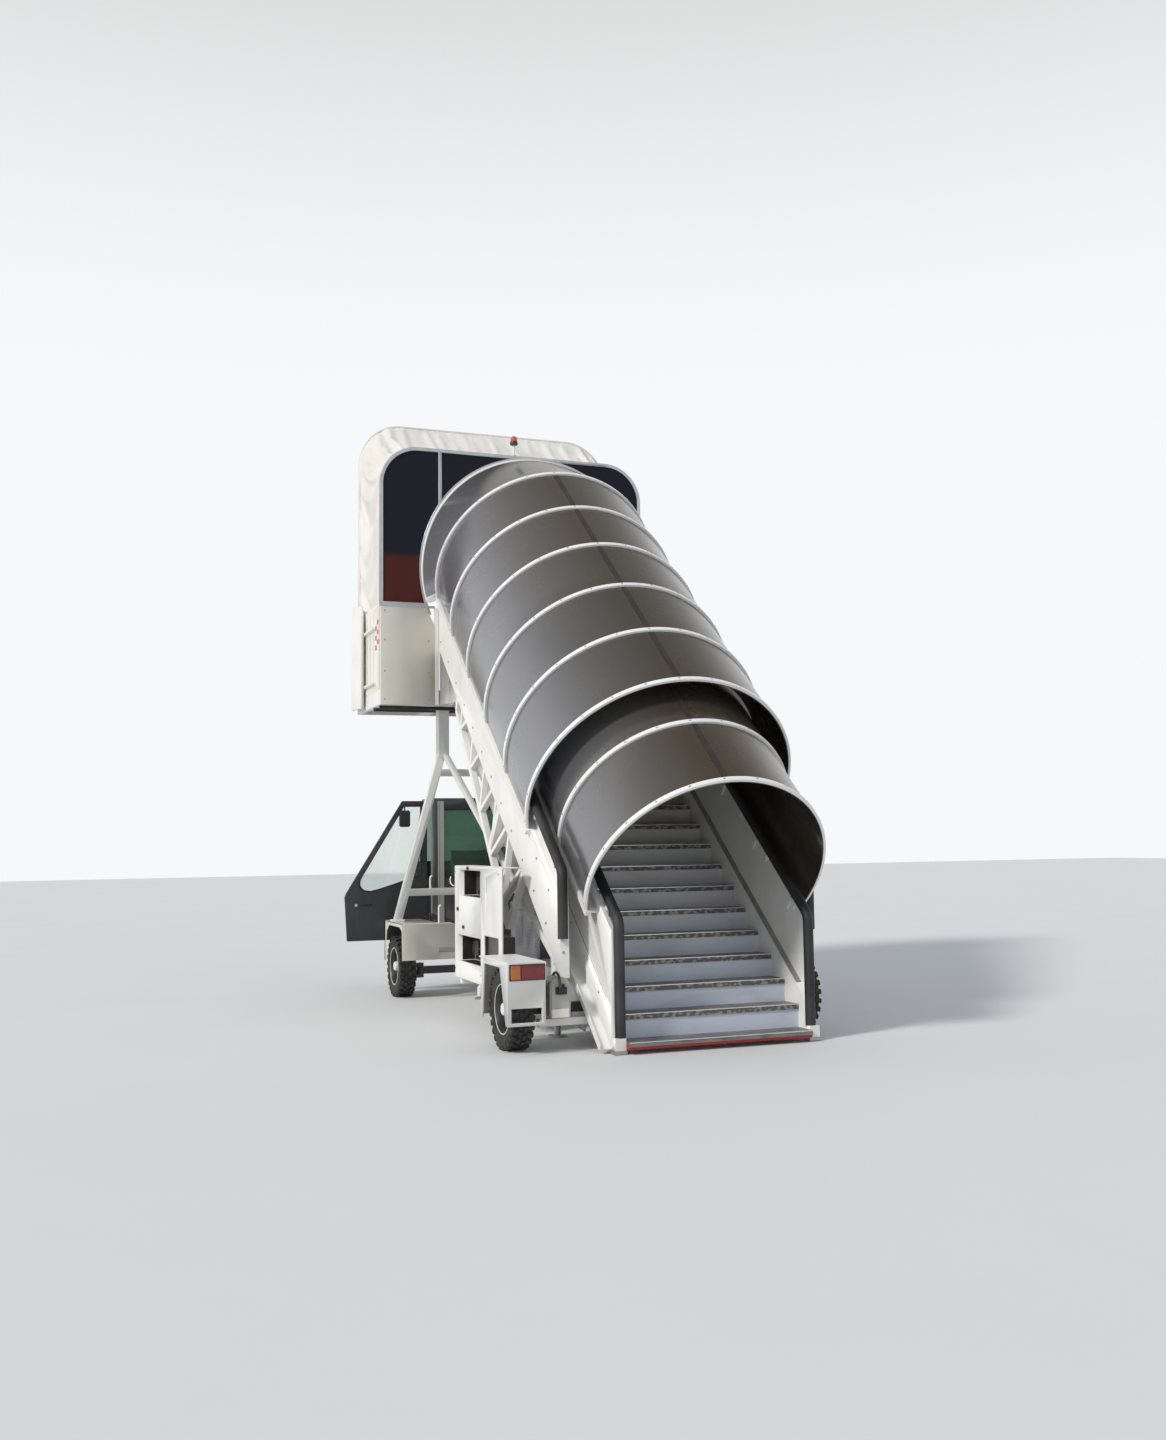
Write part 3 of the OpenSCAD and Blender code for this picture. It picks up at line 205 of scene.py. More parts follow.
def make_floor():
    mesh = bpy.data.meshes.new("floor")
    half = FLOOR_SIZE / 2
    corners = [(-half, -half, 0), (half, -half, 0), (half, half, 0), (-half, half, 0)]
    mesh.from_pydata(corners, [], [(0, 1, 2, 3)])
    floor = stand("floor", mesh)
    material = Paint("floor", FLOOR_COLOUR, 0.85)
    material.vary(FLOOR_COLOUR, tuple(c * 0.97 for c in FLOOR_COLOUR), scale=0.6, share=0.5)
    mesh.materials.append(material.made)


# Materials


class Paint:
    """A Principled surface whose colour, roughness and bump vary over the object."""

    def __init__(self, name, colour, roughness, metallic=0.0):
        self.made = bpy.data.materials.new(name)
        self.made.use_nodes = True
        self.nodes = self.made.node_tree.nodes
        self.links = self.made.node_tree.links
        self.surface = self.nodes["Principled BSDF"]
        self.surface.inputs["Base Color"].default_value = (*colour, 1)
        self.surface.inputs["Roughness"].default_value = roughness
        self.surface.inputs["Metallic"].default_value = metallic
        self.height = None

    def set(self, values):
        for name, value in values.items():
            self.surface.inputs[name].default_value = value
        return self

    def place(self, stretch=(1, 1, 1)):
        """Coordinates fixed to the object, stretched along its axes."""
        where = add_node(self.nodes, "TexCoord")
        mapping = add_node(self.nodes, "Mapping", {"Scale": stretch})
        self.links.new(where.outputs["Object"], mapping.inputs["Vector"])
        return mapping.outputs["Vector"]

    def noise(self, scale, detail=4.0, stretch=(1, 1, 1)):
        texture = add_node(self.nodes, "TexNoise", {"Scale": scale, "Detail": detail})
        self.links.new(self.place(stretch), texture.inputs["Vector"])
        return texture.outputs["Fac"]

    def wave(self, scale):
        texture = add_node(self.nodes, "TexWave", {"Scale": scale})
        self.links.new(self.place(), texture.inputs["Vector"])
        return texture.outputs["Fac"]

    def ramp(self, source, low, high, out_low=0.0, out_high=1.0):
        """Stretches the part of a factor between low and high over the range of the output."""
        remap = add_node(self.nodes, "MapRange", {"From Min": low, "From Max": high,
                                                  "To Min": out_low, "To Max": out_high})
        self.links.new(source, remap.inputs["Value"])
        return remap.outputs["Result"]

    def mix(self, factor, first, second):
        """Blends two colours, each a tuple or an output."""
        mixer = add_node(self.nodes, "Mix")
        mixer.data_type = "RGBA"
        self.links.new(factor, mixer.inputs["Factor"])
        for socket, value in ((mixer.inputs[6], first), (mixer.inputs[7], second)):
            if isinstance(value, tuple):
                socket.default_value = (*value, 1)
            else:
                self.links.new(value, socket)
        self.links.new(mixer.outputs[2], self.surface.inputs["Base Color"])
        return mixer.outputs[2]

    def along(self, axis, low, high):
        """A factor that rises from 0 to 1 along an axis of the object, between two places in metres."""
        split = add_node(self.nodes, "SeparateXYZ")
        self.links.new(self.place(), split.inputs[0])
        return self.ramp(split.outputs[axis], low, high)

    def vary(self, first, second, scale, share, stretch=(1, 1, 1)):
        """Blends towards the second colour where a noise is high."""
        factor = self.ramp(self.noise(scale, 5.0, stretch), 0.45, 0.75, 0.0, share)
        return self.mix(factor, first, second)

    def rough(self, scale, low, high, stretch=(1, 1, 1)):
        factor = self.ramp(self.noise(scale, 4.0, stretch), 0.3, 0.7, low, high)
        self.links.new(factor, self.surface.inputs["Roughness"])
        return self

    def bump(self, source, distance):
        """Adds a height in metres on top of the bumps before it."""
        node = add_node(self.nodes, "Bump", {"Distance": distance, "Strength": 1.0})
        self.links.new(source, node.inputs["Height"])
        if self.height is not None:
            self.links.new(self.height, node.inputs["Normal"])
        self.height = node.outputs["Normal"]
        self.links.new(self.height, self.surface.inputs["Normal"])
        return self


def gloss_paint(name, colour, stain, share=0.5, roughness=(0.28, 0.42)):
    """Brushed vehicle paint with rain streaks and a little grime."""
    paint = Paint(name, colour, roughness[0])
    base = paint.vary(colour, stain, 1.6, share)
    streak = paint.ramp(paint.noise(5.0, 3.0, (1, 1, 0.16)), 0.52, 0.78, 0.0, share * 0.6)
    paint.mix(streak, base, stain)
    paint.rough(7.0, *roughness)
    paint.bump(paint.noise(240.0, 2.0), 0.0004)
    return paint


# Each paint has its colour, the colour of its stains and their share
GLOSS_PAINTS = {
    "white_paint": ((0.84, 0.83, 0.79), (0.58, 0.54, 0.46), 0.35),
    "cream_paint": ((0.80, 0.77, 0.68), (0.60, 0.54, 0.43), 0.35),
    "hoop_paint": ((0.87, 0.86, 0.84), (0.62, 0.58, 0.52), 0.25),
    "charcoal_paint": ((0.035, 0.038, 0.043), (0.085, 0.08, 0.075), 0.6),
    "black_paint": ((0.02, 0.02, 0.022), (0.06, 0.055, 0.05), 0.6),
    "axle_paint": ((0.05, 0.05, 0.055), (0.11, 0.10, 0.085), 0.8),
    "rim_paint": ((0.03, 0.03, 0.032), (0.10, 0.09, 0.08), 0.7),
    "red_paint": ((0.42, 0.018, 0.018), (0.18, 0.03, 0.03), 0.6),
    "tank_paint": ((0.46, 0.45, 0.42), (0.28, 0.26, 0.23), 0.6),
    # Near-black paint for the sheets that stand as painted shade inside the cabinet
    "cabinet_liner": ((0.030, 0.024, 0.019), (0.06, 0.05, 0.04), 0.6),
    "tape_red": ((0.50, 0.03, 0.03), (0.30, 0.05, 0.04), 0.4),
}

# Each metal, rubber or plain plastic has its colour and its roughness
METALS = {
    "frame_metal": ((0.50, 0.52, 0.53), 0.40),
    "rod_steel": ((0.72, 0.73, 0.75), 0.10),
    "jack_steel": ((0.42, 0.42, 0.41), 0.38),
    # Pale metal; on the step noses its strips stand as a painted highlight
    "nosing": ((0.80, 0.79, 0.76), 0.35),
}
RUBBERS = {
    "engine_iron": ((0.12, 0.12, 0.13), 0.7),
    "rail_rubber": ((0.016, 0.016, 0.018), 0.55),
    "bumper_rubber": ((0.02, 0.02, 0.02), 0.6),
    "tyre_rubber": ((0.022, 0.022, 0.021), 0.75),
    "wheel_plastic": ((0.02, 0.02, 0.02), 0.5),
    "seat_cover": ((0.04, 0.04, 0.045), 0.6),
    "cable": ((0.02, 0.02, 0.02), 0.5),
    "seal": ((0.012, 0.012, 0.013), 0.6),
}
LAMPS = {
    "lamp_plastic": (0.22, 0.008, 0.010),
    "beacon_plastic": (0.75, 0.10, 0.03),
    "lamp_amber": (0.55, 0.16, 0.02),
}


def make_materials():
    """One material for each of the record's slots, and those that only scene pieces wear."""
    made = {
        "riser_paint": riser_paint(),
        "tread_plate": tread_metal(),
        "chequer_plate": chequer_plate(),
        "smoked_sheet": smoked_sheet(),
        "sheet_seam": seam_plastic(),
        "window_tint": window_tint(),
        "cab_glass": tinted_glass("cab_glass", (0.26, 0.40, 0.32), 0.85),
        "door_glass": tinted_glass("door_glass", (0.82, 0.88, 0.85), 0.96),
        "hood_fabric": hood_fabric(),
    }
    for maker, table in ((gloss_paint, GLOSS_PAINTS), (plain_metal, METALS), (rubber, RUBBERS)):
        made.update({name: maker(name, *values) for name, values in table.items()})
    made.update({name: lamp_plastic(name, colour) for name, colour in LAMPS.items()})
    return {name: paint.made for name, paint in made.items()}


def plain_metal(name, colour, roughness):
    paint = Paint(name, colour, roughness, 1.0)
    paint.vary(colour, tuple(c * 0.7 for c in colour), 9.0, 0.5)
    paint.rough(30.0, roughness * 0.8, roughness * 1.3, (1, 1, 0.1))
    paint.bump(paint.noise(160.0, 2.0, (1, 0.1, 1)), 0.0003)
    return paint


def tread_metal():
    paint = Paint("tread_plate", (0.22, 0.21, 0.20), 0.5, 0.5)
    paint.vary((0.26, 0.25, 0.24), (0.11, 0.10, 0.09), 5.0, 0.8)
    paint.rough(20.0, 0.32, 0.6)
    paint.bump(paint.noise(90.0, 3.0), 0.0008)
    return paint


def rubber(name, colour, roughness):
    paint = Paint(name, colour, roughness)
    paint.vary(colour, tuple(c * 2.2 + 0.02 for c in colour), 3.0, 0.7)
    paint.rough(12.0, roughness * 0.85, min(1.0, roughness * 1.2))
    paint.bump(paint.noise(300.0, 3.0), 0.0006)
    return paint


def smoked_sheet():
    """Satin bronze plastic that lets some light through, with a painted sky reflection making the left flank
    pale blue grey and painted shade making the right flank dark.
    """
    light, dark = (0.350, 0.350, 0.375), (0.085, 0.064, 0.048)
    middle = (0.150, 0.140, 0.108)
    paint = Paint("smoked_sheet", light, 0.30, 0.40)
    cloudy = paint.ramp(paint.noise(0.9, 3.0, (1, 0.4, 0.4)), 0.35, 0.75, 0.0, 0.7)
    crown = paint.mix(cloudy, middle, (0.150, 0.094, 0.052))
    # Painted sky reflection: towards the left flank the colour blends to pale blue grey
    flank = paint.mix(paint.along("X", CENTRE_X - 1.30, CENTRE_X - 0.25), light, crown)
    # Painted shade: towards the right flank the colour blends to dark brown
    paint.mix(paint.along("X", CENTRE_X + 0.15, CENTRE_X + 1.25), flank, dark)
    paint.set({"Transmission Weight": 0.50, "IOR": 1.45, "Coat Weight": 0.35, "Coat Roughness": 0.14})
    paint.rough(1.6, 0.20, 0.30)
    return paint


def seam_plastic():
    colour = (0.030, 0.026, 0.024)
    paint = Paint("sheet_seam", colour, 0.4)
    paint.vary(colour, (0.06, 0.05, 0.04), 4.0, 0.6)
    return paint


def window_tint():
    """Dark red tinted glass, made nearly black towards its top by painted shade."""
    high, low = (0.010, 0.011, 0.020), (0.075, 0.014, 0.010)
    paint = Paint("window_tint", high, 0.06)
    streak = paint.ramp(paint.noise(3.0, 4.0, (1, 1, 0.12)), 0.45, 0.7, 0.0, 0.5)
    lower = paint.mix(streak, low, (0.11, 0.028, 0.016))
    # Painted shade: above this height the glass turns nearly black
    paint.mix(paint.along("Z", FLOOR_Z + 1.50, FLOOR_Z + 1.56), lower, high)
    paint.set({"Specular IOR Level": 0.12})
    paint.bump(paint.noise(1.4, 1.0), 0.002)
    return paint


def riser_paint():
    """Grey paint, bluer towards the bottom of the flight as a painted sky reflection and warmer towards the
    top as painted shade, with scuffs along the risers.
    """
    low, high = (0.60, 0.65, 0.74), (0.64, 0.60, 0.54)
    paint = gloss_paint("riser_paint", low, (0.42, 0.44, 0.47), 0.5)
    scuff = paint.ramp(paint.noise(6.0, 5.0, (0.3, 1, 1)), 0.48, 0.75, 0.0, 0.6)
    # Painted sky reflection low on the flight, painted shade high up
    base = paint.mix(paint.along("Z", 0.4, 2.2), low, high)
    paint.mix(scuff, base, (0.40, 0.41, 0.43))
    return paint


def tinted_glass(name, colour, clear):
    """Green glass with a film of dust."""
    paint = Paint(name, colour, 0.04)
    paint.set({"Transmission Weight": clear, "IOR": 1.45})
    paint.vary(colour, tuple(c * 0.7 for c in colour), 2.0, 0.5)
    return paint


def chequer_plate():
    """Worn chequer plate: raised pale marks on a dark ground."""
    paint = Paint("chequer_plate", (0.13, 0.12, 0.11), 0.5, 0.4)
    marks = paint.ramp(paint.noise(34.0, 0.0, (0.7, 1, 1)), 0.50, 0.62, 0.0, 1.0)
    paint.mix(marks, (0.12, 0.11, 0.10), (0.29, 0.275, 0.25))
    paint.bump(marks, 0.001)
    return paint


def hood_fabric():
    """Coated white cloth with a fine weave."""
    colour = (0.84, 0.81, 0.75)
    paint = Paint("hood_fabric", colour, 0.55)
    base = paint.vary(colour, (0.62, 0.57, 0.49), 1.4, 0.45)
    streak = paint.ramp(paint.noise(4.0, 4.0, (1, 1, 0.25)), 0.5, 0.8, 0.0, 0.35)
    paint.mix(streak, base, (0.56, 0.50, 0.43))
    paint.set({"Sheen Weight": 0.25, "Sheen Roughness": 0.4})
    paint.bump(paint.wave(420), 0.0003)
    paint.bump(paint.noise(9.0, 4.0), 0.004)
    return paint


def lamp_plastic(name, colour):
    paint = Paint(name, colour, 0.16)
    paint.vary(colour, tuple(c * 0.5 for c in colour), 12.0, 0.6)
    paint.set({"Coat Weight": 0.7, "Coat Roughness": 0.05, "Transmission Weight": 0.15})
    paint.bump(paint.wave(38), 0.001)
    return paint


# Making of meshes


def plain(x, y, z):
    """A place given in the row frame itself."""
    return Vector((x, y, z))


def box(bm, one, other, where=at):
    """A block between two opposite corners in the frame of where."""
    xs, ys, zs = [sorted(ends) for ends in zip(one, other)]
    corners = [bm.verts.new(where(x, y, z)) for x in xs for y in ys for z in zs]
    for face in ((0, 1, 3, 2), (4, 6, 7, 5), (0, 4, 5, 1), (2, 3, 7, 6), (0, 2, 6, 4), (1, 5, 7, 3)):
        bm.faces.new([corners[i] for i in face])


def both(one, other):
    """The corners of a block and of its mirror image on the other side."""
    return [((side * one[0], *one[1:]), (side * other[0], *other[1:])) for side in (-1, 1)]


def skin(bm, rows, closed=True, capped=True):
    """Faces between rows of places, each row a ring or an open line."""
    made = [[bm.verts.new(place) for place in row] for row in rows]
    count = len(made[0])
    for first, second in zip(made, made[1:]):
        for i in range(count if closed else count - 1):
            j = (i + 1) % count
            bm.faces.new((first[i], first[j], second[j], second[i]))
    if capped:
        bm.faces.new(made[0][::-1])
        bm.faces.new(made[-1])


def ring_frames(path):
    """Places along a path, each with two directions square to it that turn as little as can be."""
    frames = []
    side = None
    for i, place in enumerate(path):
        ahead = (path[min(i + 1, len(path) - 1)] - path[max(i - 1, 0)]).normalized()
        if side is None:
            side = ahead.orthogonal().normalized()
        side = (side - ahead * side.dot(ahead)).normalized()
        frames.append((place, side, ahead.cross(side)))
    return frames


def tube(bm, path, radius, sides=16, flute=0.0):
    """A round bar along a path, with lengthwise flutes where asked for."""
    rows = []
    for place, side, other in ring_frames(path):
        row = []
        for i, angle in enumerate(turns(sides)):
            reach = radius - (flute if i % 2 else 0)
            row.append(place + (side * cos(angle) + other * sin(angle)) * reach)
        rows.append(row)
    skin(bm, rows)


def rod(bm, start, end, radius, sides=16, end_radius=None):
    """A straight round bar or cone between two places."""
    start, end = Vector(start), Vector(end)
    ahead = (end - start).normalized()
    side = ahead.orthogonal().normalized()
    other = ahead.cross(side)
    rows = []
    for place, reach in ((start, radius), (end, radius if end_radius is None else end_radius)):
        rows.append([place + (side * cos(a) + other * sin(a)) * reach for a in turns(sides)])
    skin(bm, rows)


def bolt(bm, place, ahead, radius=0.008, height=0.006):
    """A hexagon head on a washer."""
    place, ahead = Vector(place), Vector(ahead).normalized()
    rod(bm, place - ahead * 0.001, place + ahead * height * 0.3, radius * 1.35, 12)
    rod(bm, place, place + ahead * height, radius, 6, radius * 0.92)


def revolve(bm, outline, centre, axis, side, steps=64):
    """An outline of (distance along the axis, radius) turned about the axis."""
    axis, side = Vector(axis), Vector(side)
    other = axis.cross(side)
    rows = []
    for angle in turns(steps):
        out = side * cos(angle) + other * sin(angle)
        rows.append([Vector(centre) + axis * a + out * r for a, r in outline])
    rows.append(rows[0])
    skin(bm, rows, capped=False)


def arch(bm, outline, centre_n, foot_n, steps, low=-1.0, high=1.0):
    """A closed outline of (u, radius) carried round a flight's arch, from foot to foot."""
    rows = []
    for i in range(steps + 1):
        share = low + (high - low) * i / steps
        row = []
        for u, radius in outline:
            angle = share * acos((foot_n - centre_n) / radius)
            row.append(on_slope(radius * sin(angle), u, centre_n + radius * cos(angle)))
        rows.append(row)
    skin(bm, rows)


def soften(bm, width, segments=2, angle=radians(30)):
    """Rounds every edge that is sharper than the angle."""
    bmesh.ops.remove_doubles(bm, verts=bm.verts, dist=WELD)
    bmesh.ops.recalc_face_normals(bm, faces=bm.faces)
    sharp = [e for e in bm.edges if len(e.link_faces) == 2 and e.calc_face_angle() > angle]
    made = bmesh.ops.bevel(bm, geom=sharp, offset=width, segments=segments, affect="EDGES",
                           clamp_overlap=True)
    strips = set(made["faces"])
    for face in bm.faces:
        around = [f for e in face.edges for f in e.link_faces if f != face and f not in strips]
        bent = any(0.01 < face.normal.angle(f.normal, 0) < angle for f in around)
        face.smooth = face in strips or bent


def put(name, bm, body, slot, stands_for=(), look=None, sharp=radians(35), shaded=False):
    """Makes a piece that rides on a body and wears the material of its slot, or another look."""
    bmesh.ops.remove_doubles(bm, verts=bm.verts, dist=1e-6)
    bmesh.ops.recalc_face_normals(bm, faces=bm.faces)
    mesh = bpy.data.meshes.new(name)
    bm.to_mesh(mesh)
    bm.free()
    if not shaded:
        mesh.polygons.foreach_set("use_smooth", [True] * len(mesh.polygons))
    mesh.set_sharp_from_angle(angle=sharp)
    mesh.materials.append(MATERIALS[look or slot])
    piece = stand(name, mesh)
    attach(piece, body)
    if stands_for:
        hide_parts(*stands_for)
    return piece


def blocks(name, body, slot, corners, width=0.0, segments=2, where=at, **more):
    """A piece made of plain blocks, each given by two corners, with rounded edges."""
    bm = bmesh.new()
    for one, other in corners:
        box(bm, one, other, where)
    if width:
        soften(bm, width, segments)
    return put(name, bm, body, slot, **more)


def rounded(node, body, width, segments=2):
    """A copy of a node with its edges rounded, which stands for it."""
    bm = bmesh.new()
    bm.from_mesh(frame["nodes"][node].data)
    bmesh.ops.remove_doubles(bm, verts=bm.verts, dist=WELD)
    bmesh.ops.dissolve_limit(bm, angle_limit=radians(0.5), verts=bm.verts, edges=bm.edges)
    soften(bm, width, segments)
    return put(node + "_shell", bm, body, SLOT_OF[node], [node], shaded=True)


# Canopies

UPPER_GAP = 0.825
UPPER_COUNT = 6
BEAM_HIGH = 0.430
LAST_HOOP = up_slope(WALL_Y - 0.069, BEAM_HIGH)
LOWER_HOOPS = {"count": 5, "first": 1.008, "gap": 0.816, "radius": 1.054, "centre": 0.813,
               "foot": 0.5353, "end": 4.3}
UPPER_HOOPS = {"count": UPPER_COUNT, "first": LAST_HOOP - (UPPER_COUNT - 1) * UPPER_GAP, "gap": UPPER_GAP,
               "radius": 1.250, "centre": 0.791, "foot": BEAM_HIGH + APART, "end": None}
HOOP_THICK = 0.024
HOOP_WIDE = 0.046
HOOP_EDGE = 0.005
SHEET_THICK = 0.008
SEAM_SHARE = -0.06
SEAM_WIDE = 0.05
ARCH_STEPS = 112
BAND_BOLT = (0.007, 0.004)  # radius and height
BAND_BOLT_STEP = 0.30
SHEET_STEPS = 48
SHEET_SLACK = 0.003


def hoop_places(flight):
    return [flight["first"] + i * flight["gap"] for i in range(flight["count"])]


def sheet_end(flight):
    return flight["end"] or hoop_places(flight)[-1] + HOOP_WIDE / 2


def make_hoops(flight, body, name, node):
    """White bands round the canopy, with rounded edges and a row of small bolts."""
    bands = bmesh.new()
    heads = bmesh.new()
    inner = flight["radius"]
    outer = inner + HOOP_THICK
    for u in hoop_places(flight):
        low, high = u - HOOP_WIDE / 2, u + HOOP_WIDE / 2
        outline = [(low, inner), (low, outer - HOOP_EDGE), (low + HOOP_EDGE, outer),
                   (high - HOOP_EDGE, outer), (high, outer - HOOP_EDGE), (high, inner)]
        arch(bands, outline, flight["centre"], flight["foot"], ARCH_STEPS)
        reach = acos((flight["foot"] - flight["centre"]) / outer)
        count = int(2 * reach * outer / BAND_BOLT_STEP)
        for i in range(count + 1):
            angle = (2 * i / count - 1) * (reach - 0.05)
            out = on_slope(sin(angle), 0, cos(angle)) - on_slope(0, 0, 0)
            head = on_slope(outer * sin(angle), u, flight["centre"] + outer * cos(angle))
            bolt(heads, head - out * 0.001, out, *BAND_BOLT)
    put(name + "_bands", bands, body, "hoop_paint", [node])
    put(name + "_bolts", heads, body, "jack_steel")


def make_sheet(flight, body, name, node):
    """The smoked sheet under the hoops, a little slack between them, with its seam strip."""
    outer = flight["radius"] - APART
    start = flight["first"] - HOOP_WIDE / 2
    end = sheet_end(flight)
    line = []
    for i in range(SHEET_STEPS + 1):
        u = start + (end - start) * i / SHEET_STEPS
        slack = SHEET_SLACK * sin(pi * ((u - flight["first"]) / flight["gap"] % 1)) ** 2
        line.append((u, slack))
    outline = [(u, outer - slack) for u, slack in line]
    outline += [(u, outer - SHEET_THICK - slack) for u, slack in line[::-1]]
    bm = bmesh.new()
    arch(bm, outline, flight["centre"], flight["foot"], ARCH_STEPS)
    put(name + "_skin", bm, body, "smoked_sheet", [node], sharp=radians(50))
    seam = bmesh.new()
    half = SEAM_WIDE / 2 / outer / acos((flight["foot"] - flight["centre"]) / outer)
    low, high = outer - 0.012, outer + 0.002
    strip = [(start + 0.004, low), (start + 0.004, high), (end - 0.004, high), (end - 0.004, low)]
    arch(seam, strip, flight["centre"], flight["foot"], 4, SEAM_SHARE - half, SEAM_SHARE + half)
    put(name + "_seam", seam, body, "smoked_sheet", look="sheet_seam")


# Collar

MOUTH_RADIUS = 1.360
COLLAR_STEPS = 96


def make_collar():
    """The sheet between the last tilted hoop and the upright mouth of the cabin, with its edges."""
    low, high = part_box("canopy_collar")
    wall = high.y
    tilted_u = hoop_places(UPPER_HOOPS)[-1] + HOOP_WIDE / 2 + APART
    centre = UPPER_HOOPS["centre"]
    radius = UPPER_HOOPS["radius"]
    mouth_z = high.z - SHEET_THICK - MOUTH_RADIUS
    tilted_reach = acos((UPPER_HOOPS["foot"] - centre) / radius)
    mouth_reach = acos((low.z - mouth_z) / MOUTH_RADIUS)

    def ring(share, along, grow):
        angle = share * tilted_reach
        reach = radius + grow
        first = on_slope(reach * sin(angle), tilted_u, centre + reach * cos(angle))
        angle = share * mouth_reach
        reach = MOUTH_RADIUS + grow
        second = Vector((CENTRE_X + reach * sin(angle), wall, mouth_z + reach * cos(angle)))
        return first.lerp(second, along)

    def strip(bm, along_low, along_high, grow_low, grow_high, shares=(-1.0, 1.0), steps=COLLAR_STEPS):
        alongs = [along_low + (along_high - along_low) * k / 6 for k in range(7)]
        loop = [(a, grow_high) for a in alongs] + [(a, grow_low) for a in alongs[::-1]]
        rows = []
        for i in range(steps + 1):
            share = shares[0] + (shares[1] - shares[0]) * i / steps
            rows.append([ring(share, along, grow) for along, grow in loop])
        skin(bm, rows)

    sheet = bmesh.new()
    strip(sheet, 0, 1, 0, SHEET_THICK)
    put("collar_skin", sheet, "upper", "smoked_sheet", ["canopy_collar"], sharp=radians(50))
    flange = bmesh.new()
    for side in (-1, 1):
        section = [Vector((x * side, 0, z)) for x, z in
                   ((0.004, -0.014), (-0.048, -0.014), (-0.048, 0.004), (0.004, 0.004))]
        ends = [ring(side, 0.02, 0), ring(side, 0.97, 0)]
        skin(flange, [[end + corner for corner in section] for end in ends])
    soften(flange, 0.003)
    put("collar_flange", flange, "upper", "white_paint", shaded=True)
    trim = bmesh.new()
    strip(trim, 0.93, 1.0, 0.007, 0.013)
    for side in (-1, 1):
        strip(trim, 0.0, 1.0, -0.003, 0.014, (side * 0.982, side * 1.0), 2)
    put("collar_trim", trim, "upper", "hoop_paint")


# Handrails

RAIL_RADIUS = 0.044
RAIL_SIDES = 32
RAIL_FLUTE = 0.0016
RAIL_BEND = 0.12
LOWER_RAIL_HIGH = 0.675
UPPER_RAIL_HIGH = 0.665
LOWER_RAIL_END = 4.3


def rail_path(x, y, z_foot, n, u_end):
    """Up a post, round a bend and along the slope, on a line n off the steps' edges."""
    corner_u = up_slope(y, n)
    corner = on_slope(x, corner_u, n)
    turn = pi / 2 - SLOPE
    tangent = RAIL_BEND * tan(turn / 2)
    count = int((corner.z - tangent - z_foot) / 0.05)
    path = [Vector((corner.x, corner.y, z_foot + i * 0.05)) for i in range(count)]
    centre = Vector((corner.x, corner.y + RAIL_BEND, corner.z - tangent))
    for i in range(9):
        angle = pi - turn * i / 8
        path.append(centre + Vector((0, cos(angle), sin(angle))) * RAIL_BEND)
    start = corner_u + tangent
    path += [on_slope(x, start + (u_end - start) * i / 60, n) for i in range(1, 61)]
    return path


def make_handrails():
    """Fluted rubber rails on their posts, a pair for each flight."""
    upper_end = up_slope(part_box("upper_handrails")[1].y - FOOT_Y, UPPER_RAIL_HIGH) - 0.02
    for name, body, n, end in (("lower", "root", LOWER_RAIL_HIGH, LOWER_RAIL_END),
                               ("upper", "upper", UPPER_RAIL_HIGH, upper_end)):
        low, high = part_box(name + "_handrails")
        x = (high.x - low.x) / 2 - RAIL_RADIUS
        y = low.y + RAIL_RADIUS - FOOT_Y
        bm = bmesh.new()
        for side in (-1, 1):
            tube(bm, rail_path(side * x, y, low.z, n, end), RAIL_RADIUS, RAIL_SIDES, RAIL_FLUTE)
        put(name + "_rails", bm, body, "rail_rubber", [name + "_handrails"], sharp=radians(60))


# Wheels

TYRE_LUGS = 26
TYRE_STEPS = 96
RIM_STEPS = 72
WHEEL_NUTS = 8
NUT_CIRCLE = 0.086
HOLE_CIRCLE = 0.147
HALF_NUT_TURN = 0.39


def mirrored(outline):
    """The other half of an outline across a wheel, in reverse order."""
    return [(-along, reach) for along, reach in outline[::-1]]


def lug(bm, centre, angle, width, ends, reaches, skew):
    """One tread block between two ends along the axle and two reaches from it, narrower outside."""
    middle = sum(ends) / 2
    rows = []
    for reach, shrink in zip(reaches, (0.0, 0.06)):
        row = []
        for share, end in ((-1, ends[0]), (1, ends[0]), (1, ends[1]), (-1, ends[1])):
            along = middle + (end - middle) * (1 - shrink)
            turn = angle + share * width / 2 * (1 - shrink * 1.5) + skew * (along - middle)
            row.append(centre + Vector((along, cos(turn) * reach, sin(turn) * reach)))
        rows.append(row)
    skin(bm, rows)


